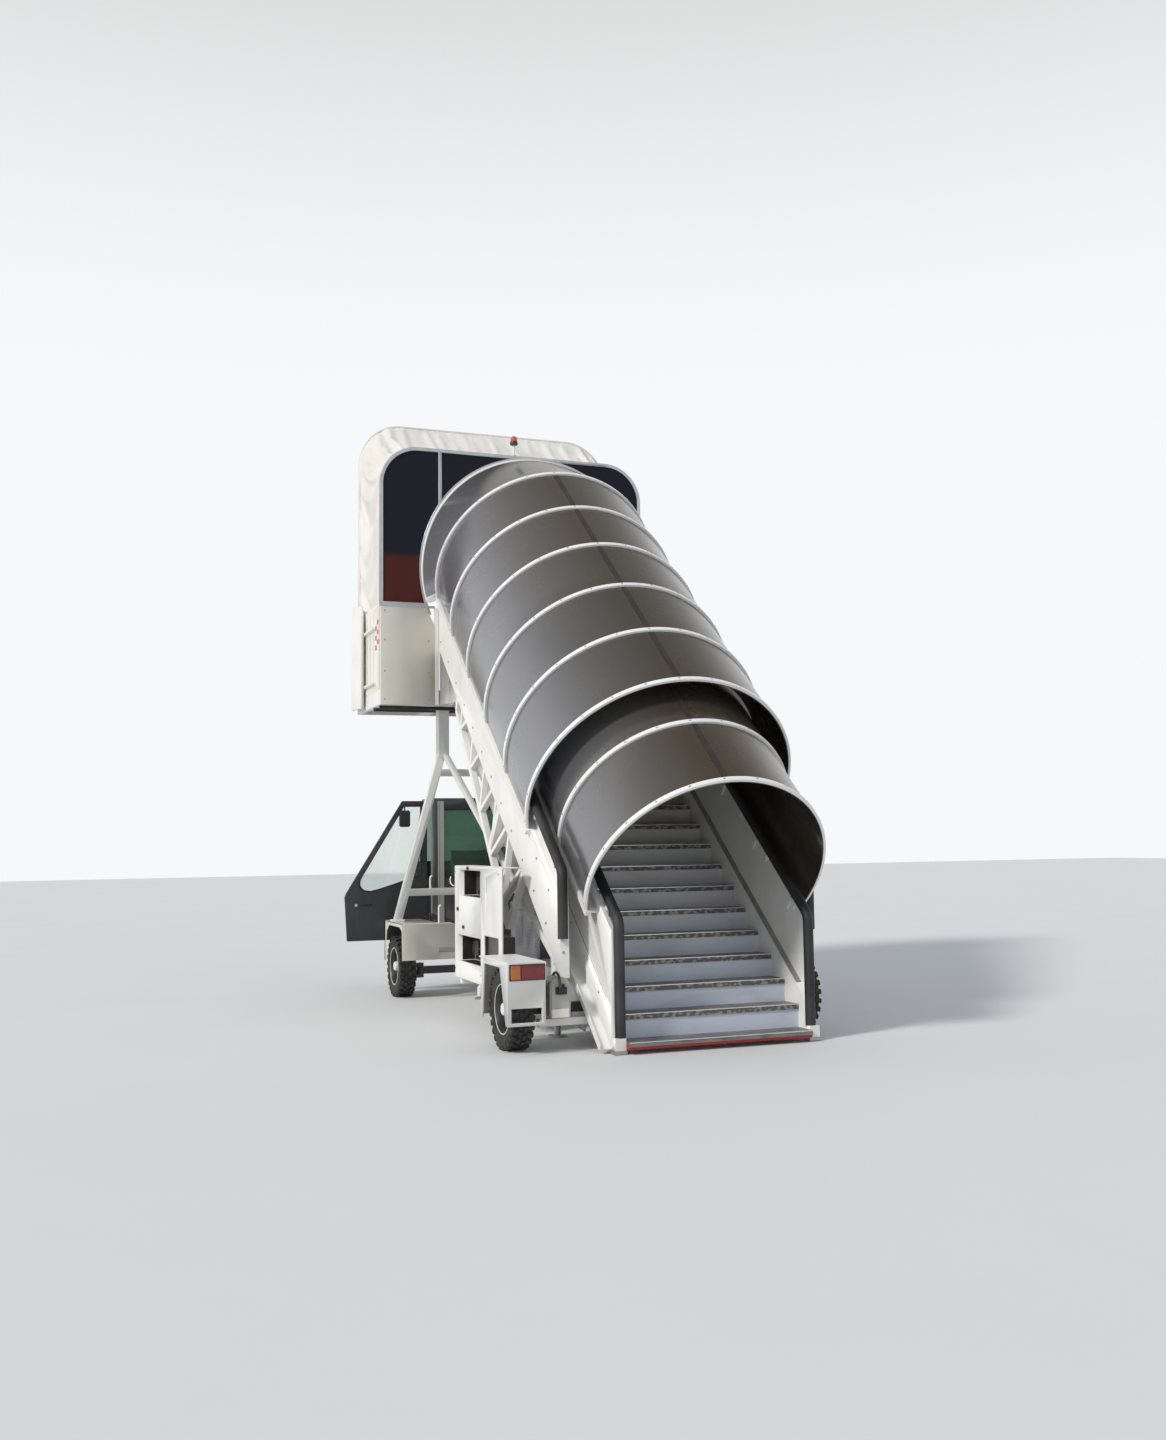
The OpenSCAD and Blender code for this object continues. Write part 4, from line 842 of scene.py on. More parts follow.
def make_wheel(place, body):
    """A tyre with blocks and grooved walls, on a dished steel rim with nuts and a hub cap."""
    tyre_node, rim_node = "tyre_" + place, "rim_" + place
    low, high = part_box(tyre_node)
    centre = (low + high) / 2
    radius = (high.z - low.z) / 2
    half = (high.x - low.x) / 2
    rim_low, rim_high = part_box(rim_node)
    bore = (rim_high.z - rim_low.z) / 2 + 0.001
    axis, side = Vector((1, 0, 0)), Vector((0, 1, 0))
    tread = radius - 0.016
    wall = [(0, tread), (half * 0.80, tread - 0.003), (half * 0.95, tread - 0.02),
            (half * 0.985, bore + 0.085), (half, bore + 0.075), (half * 0.99, bore + 0.06),
            (half * 0.9, bore + 0.02), (half * 0.78, bore)]
    bm = bmesh.new()
    revolve(bm, mirrored(wall[1:]) + wall, centre, axis, side, TYRE_STEPS)
    pitch = 2 * pi / TYRE_LUGS
    for i in range(TYRE_LUGS):
        for face in (-1, 1):
            angle = pitch * (i + (0.5 if face > 0 else 0))
            ends = sorted((face * half * 0.42, face * half * 0.99))
            lug(bm, centre, angle, pitch * 0.56, ends, (tread - 0.035, radius), 0.9 * face)
            ends = sorted((face * half * 0.06, face * half * 0.36))
            lug(bm, centre, angle + pitch * 0.28, pitch * 0.62, ends, (tread - 0.01, radius), -1.2 * face)
    put(place + "_tyre", bm, body, "tyre_rubber", [tyre_node])
    out = -1 if "left" in place else 1
    rim = bmesh.new()
    edge = half * 0.86
    lip = bore + 0.011
    shell = [(0.03, bore - 0.021), (edge - 0.02, bore - 0.010), (edge, bore), (edge + 0.004, lip - 0.008),
             (edge, lip), (edge - 0.008, lip - 0.002), (edge - 0.010, bore - 0.001)]
    revolve(rim, shell + mirrored(shell), centre, axis, side, RIM_STEPS)
    dish = [(out * along, reach) for along, reach in (
        (0.020, bore - 0.017), (0.030, 0.160), (0.012, 0.125), (0.018, 0.105), (0.018, 0.06), (0.006, 0.06),
        (0.006, 0.105), (0.0, 0.125), (0.018, 0.160), (0.008, bore - 0.017))]
    revolve(rim, dish, centre, axis, side, RIM_STEPS)
    ring = bmesh.new()
    paint_ring = [(out * (edge + 0.003), lip - 0.006), (out * (edge + 0.0055), lip - 0.009),
                  (out * (edge + 0.003), lip - 0.014)]
    revolve(ring, paint_ring, centre, axis, side, RIM_STEPS)
    put(place + "_rim_ring", ring, body, "white_paint")
    for angle in turns(WHEEL_NUTS):
        spoke = Vector((0, cos(angle), sin(angle)))
        bolt(rim, centre + spoke * NUT_CIRCLE + axis * out * 0.018, axis * out, 0.012, 0.018)
        between = angle + HALF_NUT_TURN
        hole = centre + Vector((0, cos(between), sin(between))) * HOLE_CIRCLE
        rod(rim, hole + axis * out * 0.016, hole + axis * out * 0.0285, 0.014, 16, 0.017)
    put(place + "_wheel", rim, body, "rim_paint", [rim_node])
    cap = bmesh.new()
    hub = [(out * along, reach) for along, reach in
           ((0.010, 0.001), (0.010, 0.058), (0.045, 0.056), (0.078, 0.050), (0.086, 0.040), (0.088, 0.001))]
    revolve(cap, hub, centre, axis, side, 40)
    put(place + "_hub", cap, body, "white_paint")


# Steps


# Each flight's steps: name, body, first and last step, and how far forward of the slope they lie
FLIGHT_STEPS = (("lower", "root", 0, LOWER_LAST, 0.0), ("upper", "upper", 7, 16, 0.276))
GRIP_PITCH = 0.034
GRIP_SLANT = 0.7


def make_grips():
    """Raised bars on the lips and fronts of the step plates, in alternate directions."""
    for name, body, first, last, shift in FLIGHT_STEPS:
        low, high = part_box(name + "_treads")
        half = (high.x - low.x) / 2
        bm = bmesh.new()
        count = int(2 * (half - 0.02) / GRIP_PITCH)
        for k in range(first, last + 1):
            y = k * GOING + shift
            z = FOOT_Z + k * RISER
            for i in range(count):
                x = (i - (count - 1) / 2) * GRIP_PITCH
                for row in range(2):
                    slant = GRIP_SLANT if (i + row) % 2 else -GRIP_SLANT
                    along = Vector((cos(slant), 0, sin(slant) * 0.7))
                    bar(bm, at(x, y, z - 0.010 - row * 0.016), along, Vector((0, -1, 0)))
                for row in range(3):
                    slant = GRIP_SLANT if (i + row) % 2 else -GRIP_SLANT
                    along = Vector((cos(slant), sin(slant), 0))
                    bar(bm, at(x, y + 0.020 + row * 0.032, z), along, Vector((0, 0, 1)))
        put(name + "_grips", bm, body, "tread_plate")


def bar(bm, middle, along, up, length=0.024, wide=0.007, height=0.0016):
    """A small raised lozenge on a plate."""
    along = along.normalized()
    across = up.cross(along)
    base = [middle + along * length / 2, middle + across * wide / 2,
            middle - along * length / 2, middle - across * wide / 2]
    ring = [bm.verts.new(place - up * 0.0004) for place in base]
    top = [bm.verts.new(middle + (place - middle) * 0.45 + up * height) for place in base]
    for i in range(4):
        j = (i + 1) % 4
        bm.faces.new((ring[i], ring[j], top[j], top[i]))
    bm.faces.new(top)


# Hood

HOOD_BACK = WALL_Y + 0.0403
HOOD_FRONT = DECK_FRONT - 0.070
HOOD_BOTTOM = FLOOR_Z + 0.970
HOOD_LOW_TOP = 6.200
HOOD_HIGH_TOP = 6.800
HOOD_LOW_CORNER = 0.450
HOOD_HIGH_CORNER = 0.520
HOOD_ROUND = 230
HOOD_DEEP = 46
HOOD_SLACK = 0.035
HOOD_THICK = 0.004
HOOD_FRAMES = 26
HOOD_INSET = 0.012
HOOD_BULGE = 0.016
BULGE_RISE = 0.6
WELT_RADIUS = 0.012
WELT_INSET = 0.010
WELT_STEPS = 160
GUARD_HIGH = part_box("guard_left")[1].z + 0.03


def arch_ring(share, y, top, radius, inset=0.0):
    """A place at a share of the way round the hood's outline, from the left foot over the top."""
    left, right = DECK_LEFT + inset, DECK_RIGHT - inset
    top, radius = top - inset, radius - inset
    side = top - radius - HOOD_BOTTOM
    across = right - left - 2 * radius
    quarter = pi / 2 * radius
    run = share * (2 * side + across + 2 * quarter)
    if run < side:
        return at(left, y, HOOD_BOTTOM + run)
    run -= side
    if run < quarter:
        angle = run / radius
        return at(left + radius * (1 - cos(angle)), y, top - radius * (1 - sin(angle)))
    run -= quarter
    if run < across:
        return at(left + radius + run, y, top)
    run -= across
    if run < quarter:
        angle = run / radius
        return at(right - radius * (1 - sin(angle)), y, top - radius * (1 - cos(angle)))
    return at(right, y, top - radius - (run - quarter))


def hood_place(share, deep, inset=0.0):
    """A place on the hood's smooth surface, from the rear frame to the front hoop."""
    low = arch_ring(share, HOOD_BACK, HOOD_LOW_TOP, HOOD_LOW_CORNER, inset)
    high = arch_ring(share, HOOD_FRONT, HOOD_HIGH_TOP, HOOD_HIGH_CORNER, inset)
    return low.lerp(high, deep)


def relax(piece, held, frames):
    """Lets a slack cloth buckle and hang between the points that hold it."""
    group = piece.vertex_groups.new(name="held")
    group.add(held, 1.0, "REPLACE")
    cloth = piece.modifiers.new("cloth", "CLOTH")
    settings = cloth.settings
    settings.quality = 7
    settings.mass = 0.4
    settings.tension_stiffness = 30
    settings.compression_stiffness = 30
    settings.shear_stiffness = 12
    settings.bending_stiffness = 0.6
    settings.shrink_min = -HOOD_SLACK
    settings.vertex_group_mass = "held"
    settings.effector_weights.gravity = 0.35
    cloth.point_cache.frame_end = frames
    for step in range(1, frames + 1):
        bpy.context.scene.frame_set(step)
    shaped = bpy.data.meshes.new_from_object(piece.evaluated_get(bpy.context.evaluated_depsgraph_get()))
    piece.modifiers.clear()
    piece.vertex_groups.clear()
    piece.data = shaped
    bpy.context.scene.frame_set(1)


def thicken(piece, thickness):
    """Gives a sheet its thickness, inwards."""
    solid = piece.modifiers.new("thickness", "SOLIDIFY")
    solid.thickness = thickness
    solid.offset = -1
    made = bpy.data.meshes.new_from_object(piece.evaluated_get(bpy.context.evaluated_depsgraph_get()))
    piece.modifiers.clear()
    piece.data = made


def smooth(mesh, sharp):
    """Smooth shading, but for the edges sharper than the angle."""
    mesh.polygons.foreach_set("use_smooth", [True] * len(mesh.polygons))
    mesh.set_sharp_from_angle(angle=sharp)


def make_hood():
    """The white cloth of the cabin, slack between its frames, with welts at its edges."""
    bm = bmesh.new()
    rows = []
    for i in range(HOOD_ROUND + 1):
        share = i / HOOD_ROUND
        row = []
        for k in range(HOOD_DEEP + 1):
            deep = k / HOOD_DEEP
            fold = sin(pi * deep)
            wave = (0.010 * fold * sin(29 * share + 5 * deep)
                    + 0.006 * fold * sin(61 * share - 9 * deep))
            row.append(hood_place(share, deep, HOOD_INSET + wave))
        rows.append(row)
    skin(bm, rows, closed=False, capped=False)
    held = [i * (HOOD_DEEP + 1) + k for i in range(HOOD_ROUND + 1) for k in range(HOOD_DEEP + 1)
            if k in (0, HOOD_DEEP) or i in (0, HOOD_ROUND)]
    bm.verts.index_update()
    count = len(bm.verts)
    cloth = put("hood_cloth", bm, "upper", "hood_fabric", ["hood"], sharp=radians(80))
    if count != len(cloth.data.vertices):
        raise RuntimeError("the hood's points have merged")
    relax(cloth, held, HOOD_FRAMES)
    for vert in cloth.data.vertices:
        bulge = HOOD_BULGE + max(0.0, vert.co.z - GUARD_HIGH) * BULGE_RISE
        vert.co.x = min(max(vert.co.x, CENTRE_X + DECK_LEFT - bulge), CENTRE_X + DECK_RIGHT + bulge)
    thicken(cloth, HOOD_THICK)
    smooth(cloth.data, radians(60))
    welts = bmesh.new()
    for deep in (0.004, 0.996):
        path = [hood_place(i / WELT_STEPS, deep, WELT_INSET) for i in range(WELT_STEPS + 1)]
        tube(welts, path, WELT_RADIUS, 10)
    welt = put("hood_welts", welts, "upper", "hood_fabric")


# Beacon and tail lamp


def make_beacon():
    """A white post, a black socket and a ribbed red dome."""
    low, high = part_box("beacon")
    centre = Vector(((low.x + high.x) / 2, (low.y + high.y) / 2, low.z))
    dome = [(0.168, 0.040)] + [(0.170 + 0.0035 * i, 0.0415 - (0.001 if i % 2 else 0)) for i in range(8)]
    dome += [(0.196 + 0.042 * sin(a), 0.041 * cos(a)) for a in turns(10, pi / 2, 1)]
    dome += [(0.2375, 0.001)]
    post = ((0.0, 0.001), (0.0, 0.030), (0.008, 0.030), (0.012, 0.0135), (0.130, 0.0125), (0.130, 0.001))
    socket = ((0.128, 0.001), (0.128, 0.036), (0.134, 0.045), (0.150, 0.046), (0.166, 0.044),
              (0.170, 0.040), (0.170, 0.001))
    for name, outline, steps, slot, node in (("post", post, 24, "white_paint", ()),
                                             ("socket", socket, 40, "black_paint", ["beacon"]),
                                             ("dome", dome, 40, "beacon_plastic", ())):
        bm = bmesh.new()
        revolve(bm, outline, centre, (0, 0, 1), (1, 0, 0), steps)
        put("beacon_" + name, bm, "upper", slot, node)


LENS_RIM = 0.008
LENS_RIB_STEP = 0.012
LENS_RIB_RADIUS = 0.0022
AMBER_SHARE = 0.30


def make_lamp():
    """The rear lamp: a black tray and a ribbed lens, amber outside and red inside."""
    low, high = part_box("tail_lamps")
    blocks("lamp_tray", "root", "black_paint", [((low.x, high.y - 0.010, low.z), high)], 0.004,
           where=plain, stands_for=["tail_lamps"])
    rim = LENS_RIM
    split = low.x + (high.x - low.x) * AMBER_SHARE
    for name, left, right, slot, look in (("amber", low.x + rim, split, "beacon_plastic", "lamp_amber"),
                                          ("red", split + 0.002, high.x - rim, "lamp_plastic", None)):
        lens = bmesh.new()
        box(lens, (left, low.y, low.z + rim), (right, high.y - 0.008, high.z - rim), plain)
        soften(lens, 0.006, 3)
        count = int((right - left) / LENS_RIB_STEP)
        y = low.y + 0.0012
        for i in range(count):
            x = left + 0.009 + i * (right - left - 0.018) / max(1, count - 1)
            rod(lens, (x, y, low.z + rim + 0.010), (x, y, high.z - rim - 0.010), LENS_RIB_RADIUS, 8)
        put("lamp_" + name, lens, "root", slot, look=look)


# Bodywork on the chassis

FRONT_AXLE_Y = 4.970
FENDER_OUT = -1.645


def make_front_fender_side():
    """The outer panel of the front-left fender, open round the wheel's full lock."""
    back, front = FRONT_AXLE_Y - 0.490, FRONT_AXLE_Y + 0.370
    low, top, band = 0.430, 0.829, 0.785
    outline = [(back, low), (back, top), (front, top), (front + 0.004, 0.370), (front - 0.028, 0.370),
               (front - 0.032, 0.600), (front - 0.080, 0.720), (front - 0.200, band), (back + 0.130, band),
               (back + 0.030, 0.740), (back + 0.012, low)]
    bm = bmesh.new()
    skin(bm, [[at(x, y, z) for y, z in outline] for x in (FENDER_OUT, FENDER_OUT + 0.004)])
    box(bm, (FENDER_OUT - 0.022, front - 0.026, 0.380), (FENDER_OUT, front, 0.600))
    put("front_fender_side", bm, "root", "cream_paint")


CABINET_OUT = -1.470
CABINET_IN = -1.282
CABINET_SEAM = 2.000
CABINET_FRONT = 2.940
CABINET_LOW = 0.395
CABINET_HIGH = 1.480


# Thickness of the near-black sheets that paint shade inside the cabinet's openings
SHADE_LINER_THICK = 0.0015


def make_cabinet_inside():
    """Near-black liners as painted shade inside the openings, stand-in fittings, knobs, a hook and bolts for
    the cabinet.
    """
    rear = CABINET_SEAM + 0.040
    upper = (CABINET_FRONT - 0.190, CABINET_HIGH - 0.290, CABINET_HIGH - 0.040)
    lower = (CABINET_FRONT - 0.110, CABINET_LOW + 0.165, CABINET_LOW + 0.418)
    out, back = CABINET_OUT + 0.022, CABINET_IN - 0.013
    # Thin near-black sheets lining the openings, and a dark block behind the rear opening: painted shade
    walls = []
    for front, low, high in (upper, lower):
        walls += [((back - SHADE_LINER_THICK, rear, low), (back, front, high)),
                  ((out, rear, high - SHADE_LINER_THICK), (back, front, high)),
                  ((out, rear, low), (back, front, low + SHADE_LINER_THICK)),
                  ((out + 0.024, front - SHADE_LINER_THICK, low), (back, front, high))]
    walls.append(((CABINET_OUT + 0.030, CABINET_SEAM - 0.560, CABINET_LOW + 0.150),
                  (CABINET_IN - 0.040, CABINET_SEAM - 0.050, CABINET_LOW + 0.470)))
    blocks("cabinet_liner", "root", "black_paint", walls, look="cabinet_liner")
    floor_high, floor_low = upper[1], lower[1]
    fittings = [((back - deep, rear + start, floor + low), (back - 0.001, rear + end, floor + high))
                for floor, deep, start, end, low, high in (
                    (floor_high, 0.050, 0.16, 0.34, 0.02, 0.10),
                    (floor_high, 0.045, 0.42, 0.60, 0.05, 0.19),
                    (floor_low, 0.070, 0.12, 0.24, 0.002, 0.09),
                    (floor_low, 0.050, 0.50, 0.72, 0.06, 0.20))]
    blocks("cabinet_fittings", "root", "black_paint", fittings, 0.006)
    pipes = bmesh.new()
    for i in range(3):
        x = back - 0.020 - 0.012 * i
        z = floor_low + 0.030 + 0.020 * i
        tube(pipes, [at(x, rear + 0.22 + 0.30 * s, z + 0.055 * s + 0.02 * sin(pi * s))
                     for s in (k / 12 for k in range(13))], 0.007, 10)
    put("cabinet_pipes", pipes, "root", "black_paint")
    gauges = bmesh.new()
    for i in range(3):
        middle = at(back - 0.049, rear + 0.19 + 0.05 * i, floor_high + 0.06)
        rod(gauges, middle, middle + Vector((-0.012, 0, 0)), 0.017, 20)
    put("cabinet_gauges", gauges, "root", "white_paint")
    knobs = bmesh.new()
    for y, z in ((CABINET_SEAM + 0.44, CABINET_HIGH - 0.020), (CABINET_FRONT - 0.14, CABINET_HIGH - 0.42),
                 (CABINET_SEAM + 0.60, CABINET_LOW + 0.50)):
        rod(knobs, at(CABINET_OUT + 0.002, y, z), at(CABINET_OUT - 0.010, y, z), 0.013, 20)
        rod(knobs, at(CABINET_OUT - 0.010, y, z), at(CABINET_OUT - 0.018, y, z), 0.020, 20, 0.017)
    put("cabinet_knobs", knobs, "root", "black_paint")
    hook = bmesh.new()
    foot = at(CABINET_OUT - 0.004, CABINET_FRONT - 0.03, CABINET_HIGH - 0.20)
    tube(hook, [foot + Vector((-0.034 * sin(a), 0.03 + 0.02 * a, 0.050 - 0.050 * cos(a)))
                for a in turns(12, pi * 12 / 14)], 0.0055, 10)
    put("cabinet_hook", hook, "root", "white_paint")
    edges = bmesh.new()
    for z in (CABINET_LOW + 0.09, CABINET_HIGH - 0.06):
        for y in (CABINET_SEAM - 0.55, CABINET_SEAM + 0.018, CABINET_FRONT - 0.03):
            bolt(edges, at(CABINET_OUT, y, z), (-1, 0, 0), 0.007, 0.005)
    put("cabinet_bolts", edges, "root", "jack_steel")


def make_tank():
    """The grey tank with its bands, valve block, tray and fixed hose."""
    low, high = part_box("hydraulic_tank")
    radius = (high.x - low.x) / 2
    middle = high.z - radius
    centre_x = (low.x + high.x) / 2

    def arched(grow):
        reach = radius + grow
        top = [(centre_x - reach * cos(a), middle + reach * sin(a))
               for a in turns(24, pi) + [pi]]
        return [(centre_x - reach, low.z)] + top + [(centre_x + reach, low.z)]

    def drawn(bm, loop, rear, front):
        skin(bm, [[plain(x, y, z) for x, z in loop] for y in (rear, front)])

    bm = bmesh.new()
    drawn(bm, arched(-0.002), low.y, high.y)
    soften(bm, 0.012, 3, radians(60))
    put("tank_shell", bm, "root", "tank_paint", ["hydraulic_tank"])
    bands = bmesh.new()
    for y in (low.y + 0.045, high.y - 0.070):
        drawn(bands, arched(0.0) + arched(-0.004)[::-1], y, y + 0.024)
    put("tank_bands", bands, "root", "jack_steel")
    block = bmesh.new()
    rear = Vector((low.x + 0.09, low.y, middle - 0.02))
    box(block, rear + Vector((-0.045, -0.030, -0.03)), rear + Vector((0.045, 0.002, 0.03)), plain)
    soften(block, 0.004)
    rod(block, rear + Vector((0, -0.03, 0)), rear + Vector((0, -0.055, 0)), 0.012, 6)
    rod(block, rear + Vector((0.02, -0.015, 0.03)), rear + Vector((0.02, -0.015, 0.055)), 0.009, 12)
    put("tank_valve", block, "root", "black_paint")
    tray = ((low.x + 0.01, low.y - 0.012, low.z + 0.004), (high.x - 0.02, low.y + 0.01, low.z + 0.075))
    blocks("tank_tray", "root", "cream_paint", [tray], 0.004, where=plain)
    start = Vector((low.x + 0.09, low.y - 0.050, high.z - 0.15))
    steps = ((-0.02, 0.01, 0.02), (-0.022, 0.002, 0.08), (-0.020, 0.03, 0.15), (-0.012, 0.10, 0.175),
             (0.0, 0.20, 0.17), (0.01, 0.30, 0.12))
    hose = bmesh.new()
    tube(hose, curve([start + Vector(step) for step in steps], 40), 0.011, 12)
    put("hose_black", hose, "root", "rail_rubber", look="cable")


def curve(points, count):
    """Places along a smooth curve through points."""
    made = []
    last = len(points) - 1
    for k in range(count + 1):
        run = k / count * last
        i = min(int(run), last - 1)
        s = run - i
        before, first, second, after = (points[max(0, min(last, i + d))] for d in (-1, 0, 1, 2))
        made.append(first * 1.0 + (second - before) * 0.5 * s
                    + (before - first * 2.5 + second * 2 - after * 0.5) * s ** 2
                    + ((after - before) * 0.5 + (first - second) * 1.5) * s ** 3)
    return made


# Cab door with its curved window

HINGE = (-1.115, 5.360)
DOOR_BACK = 5.375
DOOR_THICK = 0.040


def holed(bm, outline, hole, place, low, high):
    """A flat plate between low and high with one opening in it."""
    faces = tessellate_polygon([[Vector((a, b, 0)) for a, b in loop] for loop in (outline, hole)])
    loops = outline + hole
    sides = [[bm.verts.new(place(a, b, depth)) for a, b in loops] for depth in (low, high)]
    for face in faces:
        bm.faces.new([sides[0][i] for i in face])
        bm.faces.new([sides[1][i] for i in face[::-1]])
    for first, count in ((0, len(outline)), (len(outline), len(hole))):
        for i in range(count):
            one, two = first + i, first + (i + 1) % count
            bm.faces.new((sides[0][one], sides[0][two], sides[1][two], sides[1][one]))


def door_place(out, z, deep):
    """A place on the open door: out from its hinge, up, and forward of its rear face."""
    return at(HINGE[0] - out, DOOR_BACK + deep, z)


def make_door():
    """The open cab door: frame, hinges, curved window, handle, lock and mirror, and beside it a light grey
    strip that stands as a painted highlight on the cab's rounded corner.
    """
    floor, top = 0.598, 2.190
    outer = [(0.028, floor), (0.028, top), (0.322, top), (0.976, 1.135), (0.990, 1.095), (0.988, 1.060),
             (0.962, floor)]
    window = [(0.100, 1.335), (0.100, top - 0.055), (0.297, top - 0.055), (0.800, 1.312), (0.822, 1.262),
              (0.823, 1.220), (0.802, 1.180), (0.762, 1.156), (0.700, 1.148), (0.620, 1.165),
              (0.450, 1.215), (0.291, 1.266)]
    bm = bmesh.new()
    holed(bm, outer, window, door_place, 0, DOOR_THICK)
    soften(bm, 0.005, 2, radians(40))
    pin = HINGE[1] - DOOR_BACK
    for z in (0.780, 1.200):
        rod(bm, door_place(0, z, pin), door_place(0, z + 0.080, pin), 0.014, 20)
        box(bm, (0.060, z, pin + 0.002), (0.006, z + 0.080, pin + 0.010), door_place)
        box(bm, (0.060, z, pin + 0.009), (0.030, z + 0.080, 0.001), door_place)
    put("door_frame", bm, "cab_door", "charcoal_paint", ["cab_door"])
    pane = bmesh.new()
    skin(pane, [[door_place(a, b, deep) for a, b in window] for deep in (0.017, 0.023)])
    put("door_pane", pane, "cab_door", "cab_glass", ["cab_door_glass"], look="door_glass")
    seal = bmesh.new()
    inner = [(a + (0.45 - a) * 0.028, b + (1.65 - b) * 0.028) for a, b in window]
    holed(seal, window, inner, door_place, -0.003, 0.016)
    put("door_seal", seal, "cab_door", "charcoal_paint", look="seal")
    blocks("door_handle", "cab_door", "charcoal_paint",
           [((0.810, 0.998, -0.012), (0.690, 1.012, 0.001)), ((0.700, 0.990, -0.020), (0.680, 1.020, 0.001))],
           0.003, where=door_place, look="seal")
    lock = bmesh.new()
    rod(lock, door_place(0.862, 1.004, 0.001), door_place(0.862, 1.004, -0.006), 0.016, 24)
    put("door_lock", lock, "cab_door", "charcoal_paint", look="nosing")
    mirror = bmesh.new()
    box(mirror, (0.369, 1.888, -0.052), (0.239, 2.080, -0.026), door_place)
    soften(mirror, 0.012, 3)
    arm = ((2.160, 0.001), (2.155, -0.020), (2.130, -0.036), (2.060, -0.039))
    tube(mirror, [door_place(0.304, z, deep) for z, deep in arm], 0.008, 12)
    put("door_mirror", mirror, "cab_door", "charcoal_paint", look="seal")
    blocks("door_mirror_glass", "cab_door", "cab_glass", [((0.357, 1.900, -0.027), (0.251, 2.068, -0.0245))],
           where=door_place)
    # Light grey strip on the cab's corner: a painted highlight of its glossy rounded edge
    post = [((-1.030, 5.292, 0.640), (-0.962, 5.3005, 2.185)),
            ((-1.036, 5.288, 0.640), (-1.022, 5.3005, 2.185))]
    blocks("cab_corner_highlight", "root", "tank_paint", post, 0.002)


# Platform walls and underside


PATCH_SQUARE = 0.055


def make_wall_details():
    """Jambs beside the stairs, pressed ribs, a chequer patch, slides, sill, caps and bolts."""
    jambs = both((1.183, WALL_Y - 0.040, DECK_BOTTOM + 0.004), (1.231, WALL_Y - 0.003, FLOOR_Z + 0.93))
    blocks("wall_jambs", "upper", "white_paint", jambs, 0.004)
    ribs = [((x, y, DECK_BOTTOM + 0.24), (x + rise, y + 0.018, FLOOR_Z + 0.90))
            for y in (WALL_Y + 0.33 + 0.17 * i for i in range(5))
            for x, rise in ((DECK_LEFT, -0.006), (DECK_RIGHT, 0.006))]
    blocks("wall_ribs", "upper", "white_paint", ribs, 0.0025)
    wide = PATCH_SQUARE * 1.6
    for name, odd, look in (("chequer_red", 1, "tape_red"), ("chequer_white", 0, None)):
        corners = [(WALL_Y + 0.06 + column * wide, FLOOR_Z + 0.46 + row * PATCH_SQUARE)
                   for row in range(6) for column in range(2) if (row + column) % 2 == odd]
        squares = [((DECK_LEFT - 0.002, y, z), (DECK_LEFT + 0.001, y + wide, z + PATCH_SQUARE))
                   for y, z in corners]
        blocks(name, "upper", "white_paint", squares, look=look)
    rails = bmesh.new()
    for y in (WALL_Y + 0.12, WALL_Y + 0.42):
        rod(rails, at(DECK_LEFT + 0.02, y, DECK_BOTTOM - 0.018), at(-0.30, y, DECK_BOTTOM - 0.018), 0.021, 20)
    put("deck_slides", rails, "upper", "black_paint")
    sill = ((DECK_LEFT - 0.004, WALL_Y - 0.046, FLOOR_Z + 0.930), (-1.229, WALL_Y + 0.002, FLOOR_Z + 0.952))
    blocks("sill_trim", "upper", "frame_metal", [sill], 0.003)
    caps = [((edge + side * 0.003, WALL_Y + 0.045, FLOOR_Z + 0.946),
             (edge + side * 0.034, HOOD_FRONT - 0.002, FLOOR_Z + 0.973))
            for edge, side in ((DECK_LEFT, 1), (DECK_RIGHT, -1))]
    blocks("wall_caps", "upper", "white_paint", caps, 0.004, shaded=True)
    bolts = bmesh.new()
    for x in (DECK_LEFT + 0.05, -1.30):
        for z in (DECK_BOTTOM + 0.06, FLOOR_Z + 0.20, FLOOR_Z + 0.55, FLOOR_Z + 0.88):
            bolt(bolts, at(x, WALL_Y - 0.040, z), (0, -1, 0), 0.008, 0.005)
    put("wall_bolts", bolts, "upper", "jack_steel")


BEAM_FACE = 1.180
STRINGER_FACE = 0.930
BOLT_PITCH = 0.42


